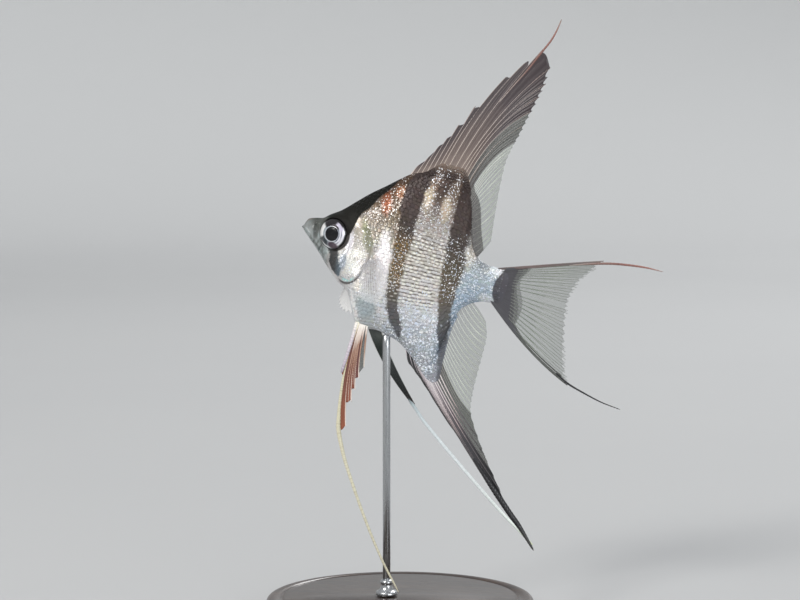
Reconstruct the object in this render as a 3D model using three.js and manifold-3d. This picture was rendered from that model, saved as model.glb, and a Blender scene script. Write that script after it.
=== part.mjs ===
// Freshwater angelfish, a still life-size model on a plain display stand.
// Millimetres, +Z up. The fish heads towards -X and its left flank faces -Y.
// The origin is the centre of the stand base's flat underside.
//
// The fish is drawn level in its own frame and then pitched nose-up as one group:
// x runs from the snout tip (0) to the tail fin's root, y is across, z is up.

import * as THREE from 'three';
import { mergeVertices } from 'three/addons/utils/BufferGeometryUtils.js';
import Module from 'manifold-3d';

const wasm = await Module();
wasm.setup();

// ---- driving dimensions ----

const BODY_LENGTH = 65.3; // snout tip to the root of the tail fin
const NOSE_UP_DEG = 14;
const SNOUT_AT = { x: -31.0, z: 121.8 }; // where the snout tip hangs over the base
const GAP = 0.3; // between neighbouring solids
const SMALLEST_EDGE = 0.0015; // closer corners left by a cut are one corner
const BODY_STATIONS = 40;
const BODY_SECTION_POINTS = 24;

const EYE = { x: 11.0, y: 2.7, z: 0.9, radius: 5.05, depth: 3.05, turnedForwardDeg: 17 };
const EYE_WALL = 0.6; // thickness of the wall between the two eye sockets
const GILL_COVER = { x: 18.6, z: -4.2, halfLength: 5.1, halfHeight: 9.3, leanDeg: 11, innerY: 3.0 };
const TAIL_CUT_X = 56.5;

const FIN_ROOT_GAP = 0.45; // a little over the gap, as the outline is rounder than its facets
const FIN_BLADE_THICKNESS = 0.7;
const FIN_ROOT_THICKNESS = 0.9;
const FIN_EDGE_THICKNESS = 0.56;
const FILAMENT_TIP_RADIUS = 0.28;

const BASE = { radius: 42, thickness: 6, edgeRound: 1.2 };
const ROD = { radius: 1.2, x: -4.3, topClearance: 0.75, fishX: 34.0 };
const ROD_FOOT = { radius: 3.4, neckRadius: 1.9, height: 5 };

// ---- materials ----

const finish = (color, roughness, metalness = 0) =>
  new THREE.MeshStandardMaterial({ color, roughness, metalness });

const silverSkin = () => finish(0xc9ccc8, 0.35, 0.3);
const darkFin = () => finish(0x6f5c55, 0.5);
const clearFin = () => finish(0x9aa09a, 0.4);
const creamStrand = () => finish(0xe0d8b8, 0.45);
const eyeSilver = () => finish(0xd5dadd, 0.15, 0.4);
const steel = () => finish(0xb9bcc0, 0.3, 0.9);
const darkBase = () => finish(0x2b2725, 0.45);

// ---- curves and meshes ----

const v3 = (x, y, z) => new THREE.Vector3(x, y, z);

// A smooth function of x through a few points that never overshoots them.
function profile(points) {
  const n = points.length;
  const slopes = [];
  for (let i = 0; i < n - 1; i++) {
    slopes.push((points[i + 1][1] - points[i][1]) / (points[i + 1][0] - points[i][0]));
  }
  const tangents = points.map((_, i) => {
    if (i === 0) return slopes[0];
    if (i === n - 1) return slopes[n - 2];
    const before = slopes[i - 1];
    const after = slopes[i];
    return before * after <= 0 ? 0 : (2 * before * after) / (before + after);
  });
  return (x) => {
    const found = points.findIndex((point, i) => i > 0 && x <= point[0]);
    const i = found < 0 ? n - 2 : found - 1;
    const span = points[i + 1][0] - points[i][0];
    const t = THREE.MathUtils.clamp((x - points[i][0]) / span, 0, 1);
    const t2 = t * t;
    const t3 = t2 * t;
    const along = (2 * t3 - 3 * t2 + 1) * points[i][1] + (3 * t2 - 2 * t3) * points[i + 1][1];
    return along + span * ((t3 - 2 * t2 + t) * tangents[i] + (t3 - t2) * tangents[i + 1]);
  };
}

// A closed mesh through rings of equal length. Round rings end in a fan; the rings of a
// plate, out along one face and back along the other, end in a strip between the faces.
function loft(rings, isPlate = false) {
  const count = rings[0].length;
  const positions = rings.flat().flatMap((p) => [p.x, p.y, p.z]);
  const index = [];
  for (let r = 0; r < rings.length - 1; r++) {
    for (let k = 0; k < count; k++) {
      const a = r * count + k;
      const b = r * count + ((k + 1) % count);
      index.push(a, b, b + count, a, b + count, a + count);
    }
  }
  const fan = (ring, offset, flip) => {
    const middle = ring.reduce((sum, p) => sum.add(p), v3(0, 0, 0)).divideScalar(count);
    const centre = positions.length / 3;
    positions.push(middle.x, middle.y, middle.z);
    for (let k = 0; k < count; k++) {
      const a = offset + k;
      const b = offset + ((k + 1) % count);
      index.push(...(flip ? [centre, b, a] : [centre, a, b]));
    }
  };
  const strip = (offset, flip) => {
    for (let k = 0; k < count / 2 - 1; k++) {
      const a = offset + k;
      const b = a + 1;
      const d = offset + count - 1 - k;
      const c = d - 1;
      index.push(...(flip ? [a, c, b, a, d, c] : [a, b, c, a, c, d]));
    }
  };
  const last = (rings.length - 1) * count;
  if (isPlate) {
    strip(0, true);
    strip(last, false);
  } else {
    fan(rings[0], 0, true);
    fan(rings.at(-1), last, false);
  }
  const geometry = new THREE.BufferGeometry();
  geometry.setAttribute('position', new THREE.Float32BufferAttribute(positions, 3));
  geometry.setIndex(index);
  return geometry;
}

// Six times the enclosed volume: negative when the faces point inwards.
function signedVolume(geometry) {
  const position = geometry.attributes.position;
  const index = geometry.index;
  const [a, b, c] = [v3(), v3(), v3()];
  let sum = 0;
  for (let i = 0; i < index.count; i += 3) {
    a.fromBufferAttribute(position, index.getX(i));
    b.fromBufferAttribute(position, index.getX(i + 1));
    c.fromBufferAttribute(position, index.getX(i + 2));
    sum += a.dot(b.cross(c));
  }
  return sum;
}

// A geometry as a solid that can be cut and joined.
function solid(source) {
  const bare = source.clone();
  bare.deleteAttribute('normal');
  bare.deleteAttribute('uv');
  const merged = mergeVertices(bare, 1e-5);
  const triangles = Uint32Array.from(merged.index.array);
  if (signedVolume(merged) < 0) {
    for (let i = 0; i < triangles.length; i += 3) {
      [triangles[i], triangles[i + 1]] = [triangles[i + 1], triangles[i]];
    }
  }
  const vertProperties = Float32Array.from(merged.attributes.position.array);
  return new wasm.Manifold(new wasm.Mesh({ numProp: 3, vertProperties, triVerts: triangles }));
}

// A solid as a geometry. Edges too short to matter, which cuts leave, are closed up.
function geometryOf(piece) {
  const { vertProperties, triVerts } = piece.getMesh();
  const corner = (i) => v3(...vertProperties.slice(3 * i, 3 * i + 3));
  const joined = Array.from({ length: vertProperties.length / 3 }, (_, i) => i);
  const leader = (i) => (joined[i] === i ? i : leader(joined[i]));
  for (let i = 0; i < triVerts.length; i++) {
    const a = triVerts[i];
    const b = triVerts[i % 3 === 2 ? i - 2 : i + 1];
    if (corner(a).distanceTo(corner(b)) < SMALLEST_EDGE) joined[leader(b)] = leader(a);
  }
  const kept = [];
  for (let i = 0; i < triVerts.length; i += 3) {
    const [a, b, c] = [...triVerts.slice(i, i + 3)].map(leader);
    if (a !== b && b !== c && c !== a) kept.push(a, b, c);
  }
  const geometry = new THREE.BufferGeometry();
  geometry.setAttribute('position', new THREE.BufferAttribute(vertProperties, 3));
  geometry.setIndex(kept);
  geometry.computeVertexNormals();
  return geometry;
}

// The side-view shape of a list of [x, z] points, as a slab from y = from to y = to.
function slab(points, from, to) {
  const shape = new THREE.Shape(points.map(([x, z]) => new THREE.Vector2(x, z)));
  const geometry = new THREE.ExtrudeGeometry(shape, { depth: to - from, bevelEnabled: false });
  geometry.rotateX(Math.PI / 2);
  geometry.translate(0, to, 0);
  return solid(geometry);
}

// ---- the body's outline and thickness ----

const backline = profile([
  [0, 0.35], [0.4, 1.9], [1.2, 3.2], [3.0, 3.9], [5.9, 4.7], [8.5, 6.6], [11.5, 9.1], [14.8, 12.3],
  [18.6, 15.9], [22.5, 19.1], [26.6, 22.6], [29.6, 24.9], [33.0, 26.3], [38.3, 27.0], [43.1, 27.1],
  [46.2, 26.2], [48.6, 23.9], [50.6, 19.4], [52.4, 11.8], [54.4, 7.0], [57.0, 4.6], [60.5, 3.6],
  [BODY_LENGTH, 3.7],
]);

const bellyline = profile([
  [0, -0.35], [1.2, -1.3], [3.4, -3.3], [6.9, -6.5], [10.0, -9.6], [13.2, -12.5], [15.4, -14.2],
  [17.2, -15.1], [18.8, -16.6], [20.3, -19.2], [22.2, -23.2], [23.8, -25.3], [26.0, -26.0],
  [30.5, -25.4], [33.4, -25.9], [37.5, -26.9], [42.8, -30.3], [45.3, -32.2], [47.6, -33.2],
  [49.4, -32.6], [50.6, -30.0], [51.4, -25.5], [52.5, -19.8], [53.9, -14.0], [55.8, -10.9],
  [58.4, -9.0], [61.5, -7.9], [BODY_LENGTH, -7.6],
]);

const halfWidth = profile([
  [0, 1.1], [1.2, 1.9], [3.4, 2.8], [7.0, 3.9], [11.0, 4.9], [16.0, 5.6], [22.0, 6.1], [30.0, 6.1],
  [38.0, 5.5], [44.0, 4.7], [50.0, 3.7], [55.0, 2.8], [60.0, 2.2], [BODY_LENGTH, 1.7],
]);

const widestHeight = profile([
  [0, 0.2], [6, -1.0], [14, -1.6], [30, -1.0], [50, -1.8], [BODY_LENGTH, -2.0],
]);

// One cross-section: a lens, sharper along the back than along the belly.
function bodyRing(x) {
  const middle = widestHeight(x);
  const up = backline(x) - middle;
  const down = middle - bellyline(x);
  const ring = [];
  for (let k = 0; k < BODY_SECTION_POINTS; k++) {
    const turn = (2 * Math.PI * k) / BODY_SECTION_POINTS;
    const height = Math.cos(turn);
    const fullness = height > 0 ? 0.72 : 0.6;
    const wide = (1 - Math.abs(height) ** 2.2) ** fullness;
    const side = k * 2 < BODY_SECTION_POINTS ? 1 : -1;
    const z = middle + (height > 0 ? up : down) * height;
    ring.push(v3(x, side * halfWidth(x) * wide, z));
  }
  return ring;
}

function body() {
  const rings = [];
  for (let i = 0; i <= BODY_STATIONS; i++) {
    const even = i / BODY_STATIONS;
    const bunched = (1 - Math.cos(Math.PI * even)) / 2; // closer together at both ends
    const x = BODY_LENGTH * THREE.MathUtils.lerp(even, bunched, 0.5);
    rings.push(bodyRing(x));
  }
  return solid(loft(rings));
}

// ---- head, gill covers and jaw, parted from the body by thin cuts ----

function eyeball(side, grow = 0) {
  const ball = new THREE.SphereGeometry(1, 16, 10);
  ball.rotateX(Math.PI / 2);
  ball.scale(EYE.radius + grow, EYE.depth + grow, EYE.radius + grow);
  ball.rotateZ((-side * EYE.turnedForwardDeg * Math.PI) / 180);
  ball.translate(EYE.x, side * EYE.y, EYE.z);
  const innerY = EYE_WALL / 2 + GAP - grow;
  return solid(ball).intersect(sideBeyond(side, innerY));
}

// The whole of one side of the fish, from y outwards.
function sideBeyond(side, y) {
  const square = [[-10, -60], [90, -60], [90, 60], [-10, 60]];
  return slab(square, Math.min(side * y, side * 20), Math.max(side * y, side * 20));
}

function gillCoverSlab(side, grow = 0) {
  const lean = (GILL_COVER.leanDeg * Math.PI) / 180;
  const outline = [];
  const count = 22;
  for (let k = 0; k < count; k++) {
    const turn = (2 * Math.PI * k) / count;
    const along = (GILL_COVER.halfLength + grow) * Math.cos(turn);
    const up = (GILL_COVER.halfHeight + grow) * Math.sin(turn);
    outline.push([
      GILL_COVER.x + along * Math.cos(lean) + up * Math.sin(lean),
      GILL_COVER.z - along * Math.sin(lean) + up * Math.cos(lean),
    ]);
  }
  const inner = side * (GILL_COVER.innerY - grow);
  const outer = side * 20;
  return slab(outline, Math.min(inner, outer), Math.max(inner, outer));
}

// The gape runs back from the lips to the jaw's hinge, then down to the chin.
function lowerJawSlab(grow = 0) {
  return slab([[-2, -0.15 + grow], [0.2, -0.15 + grow], [3.2 + grow, -1.9 + grow],
    [5.6 + grow, -4.2], [5.6 + grow, -8], [-2, -8]], -20, 20);
}

// The head ends behind the gill covers; everything behind this line is trunk.
const shoulderX = profile([
  [-40, 18.3], [-16, 19.0], [-11, 23.2], [-4, 24.7], [4, 23.8], [12, 21.8], [40, 17.5],
]);

function beyondShoulder(offset) {
  const line = [];
  for (let z = -40; z <= 40; z += 2) line.push([shoulderX(z) + offset, z]);
  return slab([...line, [90, 40], [90, -40]], -20, 20);
}

function behind(x) {
  return slab([[x, 40], [90, 40], [90, -90], [x, -90]], -20, 20);
}

// ---- fins ----

// A thin plate over a fan of rays. Each key ray is [root, middle, tip]; rays between the
// keys follow smooth curves through them.
function finPlate(keyRays, rays, steps) {
  const line = (i) => new THREE.CatmullRomCurve3(keyRays.map((ray) => ray[i]));
  const [roots, middles, tips] = [line(0), line(1), line(2)];
  const point = (u, v) => {
    const root = roots.getPoint(u).multiplyScalar((1 - v) * (1 - 2 * v));
    const middle = middles.getPoint(u).multiplyScalar(4 * v * (1 - v));
    const tip = tips.getPoint(u).multiplyScalar(v * (2 * v - 1));
    return root.add(middle).add(tip);
  };
  const rings = [];
  for (let i = 0; i <= rays; i++) {
    const u = i / rays;
    const front = [];
    const back = [];
    for (let j = 0; j <= steps; j++) {
      const v = j / steps;
      const e = 0.01;
      const along = point(u, Math.min(v + e, 1)).sub(point(u, Math.max(v - e, 0)));
      const across = point(Math.min(u + e, 1), v).sub(point(Math.max(u - e, 0), v));
      const normal = along.cross(across).normalize();
      const half = THREE.MathUtils.lerp(FIN_ROOT_THICKNESS, FIN_EDGE_THICKNESS, v) / 2;
      front.push(point(u, v).addScaledVector(normal, half));
      back.unshift(point(u, v).addScaledVector(normal, -half));
    }
    rings.push([...front, ...back]);
  }
  return solid(loft(rings, true));
}

// A round strand that thins along its path.
function strand(points, startRadius, steps, sides = 6) {
  const path = new THREE.CatmullRomCurve3(points);
  const frames = path.computeFrenetFrames(steps, false);
  const rings = [];
  for (let i = 0; i <= steps; i++) {
    const radius = THREE.MathUtils.lerp(startRadius, FILAMENT_TIP_RADIUS, i / steps);
    const centre = path.getPointAt(i / steps);
    const ring = [];
    for (let k = 0; k < sides; k++) {
      const turn = (2 * Math.PI * k) / sides;
      ring.push(centre.clone()
        .addScaledVector(frames.normals[i], radius * Math.cos(turn))
        .addScaledVector(frames.binormals[i], radius * Math.sin(turn)));
    }
    rings.push(ring);
  }
  return solid(loft(rings));
}

const flat = (x, z) => v3(x, 0, z);
const midRay = (root, middle, tip) => [flat(...root), flat(...middle), flat(...tip)];

// A point just clear of the body's outline: outward is 1 for the back and -1 for the belly.
function clearOf(line, outward, x) {
  const reach = 0.05;
  const slope = (line(x + reach) - line(x - reach)) / (2 * reach);
  const normal = new THREE.Vector2(-slope, 1).normalize().multiplyScalar(outward * FIN_ROOT_GAP);
  return flat(x + normal.x, line(x) + normal.y);
}

const backRay = (rootX, middle, tip) => [clearOf(backline, 1, rootX), flat(...middle), flat(...tip)];
const bellyRay = (rootX, middle, tip) => [clearOf(bellyline, -1, rootX), flat(...middle), flat(...tip)];

// A flat blade whose root follows the body's outline. Its free edge is given from the
// rear end of the root outwards: the trailing edge first, then the leading edge.
function finBlade(line, outward, [rootFrom, rootTo], freeEdges) {
  const steps = 12;
  const outline = [];
  for (let i = 0; i <= steps; i++) {
    const root = clearOf(line, outward, THREE.MathUtils.lerp(rootFrom, rootTo, i / steps));
    outline.push([root.x, root.z]);
  }
  for (const edge of freeEdges) {
    const curve = new THREE.SplineCurve(edge.map(([x, z]) => new THREE.Vector2(x, z)));
    outline.push(...curve.getPoints(3 * edge.length).map((p) => [p.x, p.y]));
  }
  return slab(outline, -FIN_BLADE_THICKNESS / 2, FIN_BLADE_THICKNESS / 2);
}

// Sail-like dorsal fin: a stiff front with a tall tip, and a soft see-through rear.
const dorsalFront = {
  root: [28.6, 48.4],
  trailing: [[58.3, 42.0], [60.9, 50.6], [62.9, 60.0], [63.3, 68.0], [62.5, 75.2]],
  leading: [[61.6, 75.2], [58.9, 69.9], [52.2, 61.9], [44.9, 51.8], [39.7, 42.4], [35.9, 34.6],
    [33.0, 29.4], [29.4, 25.9]],
};

const dorsalRear = [
  backRay(48.65, [53.8, 32.8], [58.6, 41.6]),
  backRay(50.0, [54.4, 27.2], [57.1, 34.0]),
  backRay(51.0, [54.9, 21.6], [57.6, 26.4]),
  backRay(52.6, [55.9, 13.8], [58.3, 17.8]),
  backRay(56.2, [57.8, 7.6], [59.0, 10.5]),
];

const dorsalThread = [flat(62.1, 76.0), flat(62.6, 79.0), flat(63.2, 81.9)];

// Sickle-shaped anal fin, a mirror of the dorsal that sweeps further back.
const analFront = {
  root: [40.2, 51.1],
  trailing: [[65.0, -41.2], [69.2, -48.6], [76.4, -58.0], [84.4, -67.7]],
  leading: [[83.9, -68.4], [80.6, -66.1], [75.1, -61.7], [69.9, -55.5], [63.2, -49.4],
    [55.0, -42.9], [50.4, -38.3], [46.6, -35.0], [43.2, -32.1]],
};

const analRear = [
  bellyRay(51.18, [58.4, -34.0], [65.2, -40.8]),
  bellyRay(51.9, [58.7, -28.8], [64.8, -32.6]),
  bellyRay(52.8, [59.1, -22.8], [65.0, -25.8]),
  bellyRay(54.2, [60.0, -16.8], [65.2, -19.2]),
  bellyRay(57.6, [60.9, -11.6], [63.4, -13.6]),
];

const analThread = [flat(85.0, -69.1), flat(88.4, -72.2), flat(92.0, -75.6), flat(95.3, -78.9)];

// Tail fin, in two lobes.
const TAIL_ROOT_X = BODY_LENGTH + GAP;
const tailUpper = [
  midRay([TAIL_ROOT_X, 3.3], [78.8, 8.6], [92.9, 13.9]),
  midRay([TAIL_ROOT_X, 1.8], [78.4, 6.4], [90.2, 10.2]),
  midRay([TAIL_ROOT_X, 0.4], [76.8, 3.4], [86.6, 5.4]),
  midRay([TAIL_ROOT_X, -1.6], [75.6, -1.6], [84.9, -1.6]),
];

const tailLower = [
  midRay([TAIL_ROOT_X, -2.2], [75.6, -2.4], [84.9, -2.4]),
  midRay([TAIL_ROOT_X, -4.0], [76.2, -6.6], [86.6, -9.0]),
  midRay([TAIL_ROOT_X, -5.8], [77.0, -12.4], [88.4, -17.6]),
  midRay([TAIL_ROOT_X, -7.2], [78.2, -18.5], [92.7, -26.1]),
];

const tailUpperThread = [flat(93.4, 13.7), flat(99.0, 14.1), flat(106.0, 14.9), flat(112.5, 15.4)];
const tailLowerThread = [flat(93.3, -26.1), flat(97.0, -26.8), flat(103.8, -28.3), flat(110.3, -29.0)];

// Pectoral fins: the left one fans out and down, the right one sweeps down and forwards.
const pectoralLeft = [
  [v3(22.8, -6.6, -5.2), v3(23.6, -9.3, -10.0), v3(24.8, -12.5, -15.0)],
  [v3(24.2, -6.8, -4.4), v3(25.9, -10.0, -10.2), v3(28.2, -13.6, -16.0)],
  [v3(25.6, -6.8, -3.4), v3(28.4, -10.2, -9.6), v3(31.8, -14.0, -15.2)],
  [v3(26.8, -6.7, -2.2), v3(30.0, -9.0, -5.6), v3(33.2, -12.0, -10.5)],
];

const pectoralRight = [
  [v3(22.8, 6.5, -5.2), v3(18.6, 8.2, -9.5), v3(15.6, 9.2, -15.2)],
  [v3(24.0, 6.6, -4.4), v3(18.6, 9.0, -12.6), v3(14.3, 10.6, -20.8)],
  [v3(25.4, 6.7, -3.4), v3(20.2, 9.2, -14.0), v3(16.5, 11.0, -24.2)],
  [v3(26.8, 6.7, -2.2), v3(23.4, 9.0, -13.4), v3(21.0, 10.2, -24.0)],
];

// Pelvic fins: slim blades that run out into long strands. The left one hangs almost
// straight down and the right one trails back beside the anal fin.
const pelvicLeft = [
  [v3(24.0, -1.5, -26.4), v3(23.6, -4.1, -41.0), v3(26.6, -5.0, -57.2)],
  [v3(25.2, -1.5, -26.9), v3(25.2, -4.0, -41.0), v3(27.6, -5.0, -57.1)],
  [v3(26.2, -1.4, -27.0), v3(27.2, -3.8, -40.0), v3(28.4, -4.9, -54.0)],
  [v3(27.0, -1.4, -26.9), v3(28.2, -3.4, -36.6), v3(29.2, -4.4, -46.0)],
  [v3(27.7, -1.3, -26.8), v3(28.8, -2.8, -32.2), v3(30.0, -3.8, -37.6)],
];

const pelvicRight = [
  [v3(27.2, 1.3, -26.7), v3(35.2, 3.9, -36.0), v3(45.6, 5.3, -46.1)],
  [v3(29.2, 1.4, -26.6), v3(36.4, 3.9, -35.4), v3(46.1, 5.4, -45.6)],
  [v3(31.4, 1.4, -26.5), v3(37.6, 3.8, -34.6), v3(46.6, 5.4, -45.1)],
];

const pelvicLeftThread = [
  v3(27.5, -5.1, -57.9), v3(29.8, -5.3, -62.5), v3(33.2, -5.5, -69.0), v3(42.0, -6.0, -82.2),
  v3(50.6, -6.5, -93.4), v3(58.5, -7.0, -102.0),
];

const pelvicRightThread = [
  v3(47.0, 5.4, -46.3), v3(52.4, 5.6, -51.0), v3(66.7, 6.0, -61.2), v3(80.7, 6.4, -70.7),
  v3(87.4, 6.6, -74.8), v3(93.8, 7.0, -78.8),
];

// ---- the fish ----

const fish = new THREE.Group();
fish.rotation.y = (NOSE_UP_DEG * Math.PI) / 180;
fish.position.set(SNOUT_AT.x, 0, SNOUT_AT.z);

function addPiece(parent, name, piece, material) {
  const mesh = new THREE.Mesh(geometryOf(piece), material);
  mesh.name = name;
  parent.add(mesh);
}

const wholeBody = body();
const trunkAndTail = wholeBody.intersect(beyondShoulder(GAP / 2));
const headBlock = wholeBody.subtract(beyondShoulder(-GAP / 2));
const sides = [{ word: 'left', sign: -1 }, { word: 'right', sign: 1 }];

let head = headBlock.subtract(lowerJawSlab(GAP));
for (const { word, sign } of sides) {
  const socket = eyeball(sign, GAP);
  head = head.subtract(socket).subtract(gillCoverSlab(sign, GAP));
  const cover = headBlock.intersect(gillCoverSlab(sign)).subtract(socket);
  addPiece(fish, `gill_cover_${word}`, cover, silverSkin());
  addPiece(fish, `eye_${word}`, eyeball(sign), eyeSilver());
}
addPiece(fish, 'head', head, silverSkin());
addPiece(fish, 'lower_jaw', headBlock.intersect(lowerJawSlab()), silverSkin());
addPiece(fish, 'trunk', trunkAndTail.subtract(behind(TAIL_CUT_X)), silverSkin());
addPiece(fish, 'tail_peduncle', trunkAndTail.intersect(behind(TAIL_CUT_X + GAP)), silverSkin());

const addFin = (name, keyRays, rays, steps, material) =>
  addPiece(fish, name, finPlate(keyRays, rays, steps), material);

const addStrand = (name, points, startRadius, steps, material) =>
  addPiece(fish, name, strand(points, startRadius, steps), material);

const addBlade = (name, line, outward, { root, trailing, leading }) =>
  addPiece(fish, name, finBlade(line, outward, root, [trailing, leading]), darkFin());

addBlade('dorsal_fin_front', backline, 1, dorsalFront);
addFin('dorsal_fin_rear', dorsalRear, 10, 5, clearFin());
addStrand('dorsal_filament', dorsalThread, 0.5, 4, darkFin());

addBlade('anal_fin_front', bellyline, -1, analFront);
addFin('anal_fin_rear', analRear, 10, 5, clearFin());
addStrand('anal_filament', analThread, 0.9, 7, darkFin());

addFin('tail_fin_upper', tailUpper, 9, 7, clearFin());
addFin('tail_fin_lower', tailLower, 9, 7, clearFin());
addStrand('tail_filament_upper', tailUpperThread, 0.5, 8, darkFin());
addStrand('tail_filament_lower', tailLowerThread, 0.5, 8, darkFin());

addFin('pectoral_fin_left', pectoralLeft, 8, 6, clearFin());
addFin('pectoral_fin_right', pectoralRight, 8, 6, clearFin());

addFin('pelvic_fin_left', pelvicLeft, 9, 8, darkFin());
addFin('pelvic_fin_right', pelvicRight, 6, 8, darkFin());
addStrand('pelvic_filament_left', pelvicLeftThread, 0.75, 14, creamStrand());
addStrand('pelvic_filament_right', pelvicRightThread, 0.5, 12, creamStrand());

// ---- the stand: a round base, a slim rod and the rod's turned foot ----

function turned(profilePoints, segments) {
  const points = [...profilePoints, profilePoints[0]].map(([r, z]) => new THREE.Vector2(r, z));
  return solid(new THREE.LatheGeometry(points, segments).rotateX(Math.PI / 2));
}

const rounded = BASE.edgeRound;
const basePlate = turned([
  [0, 0], [BASE.radius, 0], [BASE.radius, BASE.thickness - rounded],
  [BASE.radius - rounded * 0.3, BASE.thickness - rounded * 0.3],
  [BASE.radius - rounded, BASE.thickness], [0, BASE.thickness],
], 44);

const pitch = (NOSE_UP_DEG * Math.PI) / 180;
const bellyOverRod = SNOUT_AT.z - ROD.fishX * Math.sin(pitch) + bellyline(ROD.fishX) * Math.cos(pitch);
const rodBottom = BASE.thickness + GAP;
const rodTop = bellyOverRod - ROD.topClearance;
const footTop = rodBottom + ROD_FOOT.height;
const rod = new THREE.CylinderGeometry(ROD.radius, ROD.radius, rodTop - rodBottom, 16)
  .rotateX(Math.PI / 2)
  .translate(0, 0, (rodTop + rodBottom) / 2);
const foot = turned([
  [ROD.radius + GAP, rodBottom], [ROD_FOOT.radius, rodBottom], [ROD_FOOT.radius, rodBottom + 1.2],
  [ROD_FOOT.neckRadius + 0.5, rodBottom + 2.2], [ROD_FOOT.neckRadius, footTop],
  [ROD.radius + GAP, footTop],
], 16);

const rodPlace = new THREE.Group();
rodPlace.position.set(ROD.x, 0, 0);
addPiece(rodPlace, 'stand_rod', solid(rod), steel());
addPiece(rodPlace, 'stand_rod_foot', foot, steel());

const model = new THREE.Group();
addPiece(model, 'stand_base', basePlate, darkBase());
model.add(rodPlace);
model.add(fish);

export default model;
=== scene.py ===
"""The looks of a freshwater angelfish, a still life-size model on a plain display stand.

The fish is drawn in its own frame, in millimetres: x runs from the snout tip to the root
of the tail fin, y is across with the left flank at -y, and z is up. world() pitches it
nose-up over the stand and gives metres.
"""

import math
from types import SimpleNamespace

import bpy
import numpy as np
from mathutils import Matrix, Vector

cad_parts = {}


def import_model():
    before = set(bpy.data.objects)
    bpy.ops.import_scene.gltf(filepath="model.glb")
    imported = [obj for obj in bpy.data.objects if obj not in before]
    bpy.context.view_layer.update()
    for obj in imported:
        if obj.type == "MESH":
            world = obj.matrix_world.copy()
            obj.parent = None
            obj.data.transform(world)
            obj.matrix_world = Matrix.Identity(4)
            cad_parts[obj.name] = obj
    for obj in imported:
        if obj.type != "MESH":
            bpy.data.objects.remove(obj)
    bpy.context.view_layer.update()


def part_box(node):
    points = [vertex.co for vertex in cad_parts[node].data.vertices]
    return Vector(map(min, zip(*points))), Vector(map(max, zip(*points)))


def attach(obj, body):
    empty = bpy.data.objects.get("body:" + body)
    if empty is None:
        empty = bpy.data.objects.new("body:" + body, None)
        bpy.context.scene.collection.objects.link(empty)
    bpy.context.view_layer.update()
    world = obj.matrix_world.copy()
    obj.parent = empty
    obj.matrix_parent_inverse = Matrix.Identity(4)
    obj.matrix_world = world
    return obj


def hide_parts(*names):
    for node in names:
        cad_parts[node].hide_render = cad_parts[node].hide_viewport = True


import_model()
dice = np.random.default_rng(7)

# ---- places and sizes, in millimetres ----

NOSE_UP = math.radians(14)
SNOUT_AT = (-31.0, 0.0, 121.8)
BODY_LENGTH = 65.3
SKIN_DEPTH = 0.14  # the skin lies this far inside the solids; the scales fill the rest
HEAD_FADE = (25, 28)  # where the head's relief dies away

EYE_CENTRE = (11.0, 2.7, 0.9)
EYE_RADIUS = 5.05
EYE_DEPTH = 3.05
EYE_TURN = math.radians(17)
EYE_OPENING = 4.75
PUPIL_RADIUS = 2.2
PUPIL_SHIFT = 0.45  # towards the tail from the middle of the eye

GILL = SimpleNamespace(x=18.6, z=-4.2, half_length=5.1, half_height=8.8, lean=math.radians(11))

SIDES = (("left", -1), ("right", 1))
FULL_TURN = 2 * np.pi
MM = 1000  # millimetres in a metre


def world(points):
    """Fish-frame millimetres to metres over the stand."""
    x, y, z = np.moveaxis(np.asarray(points, float), -1, 0)
    along = x * math.cos(NOSE_UP) + z * math.sin(NOSE_UP) + SNOUT_AT[0]
    up = -x * math.sin(NOSE_UP) + z * math.cos(NOSE_UP) + SNOUT_AT[2]
    return np.stack([along, y + SNOUT_AT[1], up], -1) / MM


# ---- camera ----

CAMERA_AZIMUTH, CAMERA_ELEVATION = math.radians(12), math.radians(5)
CAMERA_DISTANCE = 0.8
CAMERA_TARGET = Vector((0, 0, 0.099447))
CAMERA_LENS, SENSOR_WIDTH = 115.76, 36


def aim(obj, place, target):
    obj.location = place
    obj.rotation_euler = (Vector(target) - Vector(place)).to_track_quat("-Z", "Y").to_euler()


def add_camera():
    forward = Vector((
        -math.sin(CAMERA_AZIMUTH) * math.cos(CAMERA_ELEVATION),
        math.cos(CAMERA_AZIMUTH) * math.cos(CAMERA_ELEVATION),
        -math.sin(CAMERA_ELEVATION),
    ))
    camera = bpy.data.objects.new("camera", bpy.data.cameras.new("camera"))
    camera.data.sensor_width = SENSOR_WIDTH
    camera.data.lens = CAMERA_LENS
    aim(camera, CAMERA_TARGET - forward * CAMERA_DISTANCE, CAMERA_TARGET)
    bpy.context.scene.collection.objects.link(camera)
    bpy.context.scene.camera = camera


add_camera()

# ---- curves and numbers ----


def profile(points):
    """A smooth function through a few points that never overshoots them."""
    xs, ys = np.array(points, float).T
    slopes = np.diff(ys) / np.diff(xs)
    before, after = slopes[:-1], slopes[1:]
    same_way = before * after > 0
    total = np.where(same_way, before + after, 1)
    inner = np.where(same_way, 2 * before * after / total, 0)
    tangents = np.concatenate([slopes[:1], inner, slopes[-1:]])

    def at(x):
        x = np.clip(x, xs[0], xs[-1])
        i = np.clip(np.searchsorted(xs, x) - 1, 0, len(xs) - 2)
        span = xs[i + 1] - xs[i]
        t = (x - xs[i]) / span
        held = (2 * t**3 - 3 * t**2 + 1) * ys[i] + (3 * t**2 - 2 * t**3) * ys[i + 1]
        return held + span * ((t**3 - 2 * t**2 + t) * tangents[i] + (t**3 - t**2) * tangents[i + 1])

    return at


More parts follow.
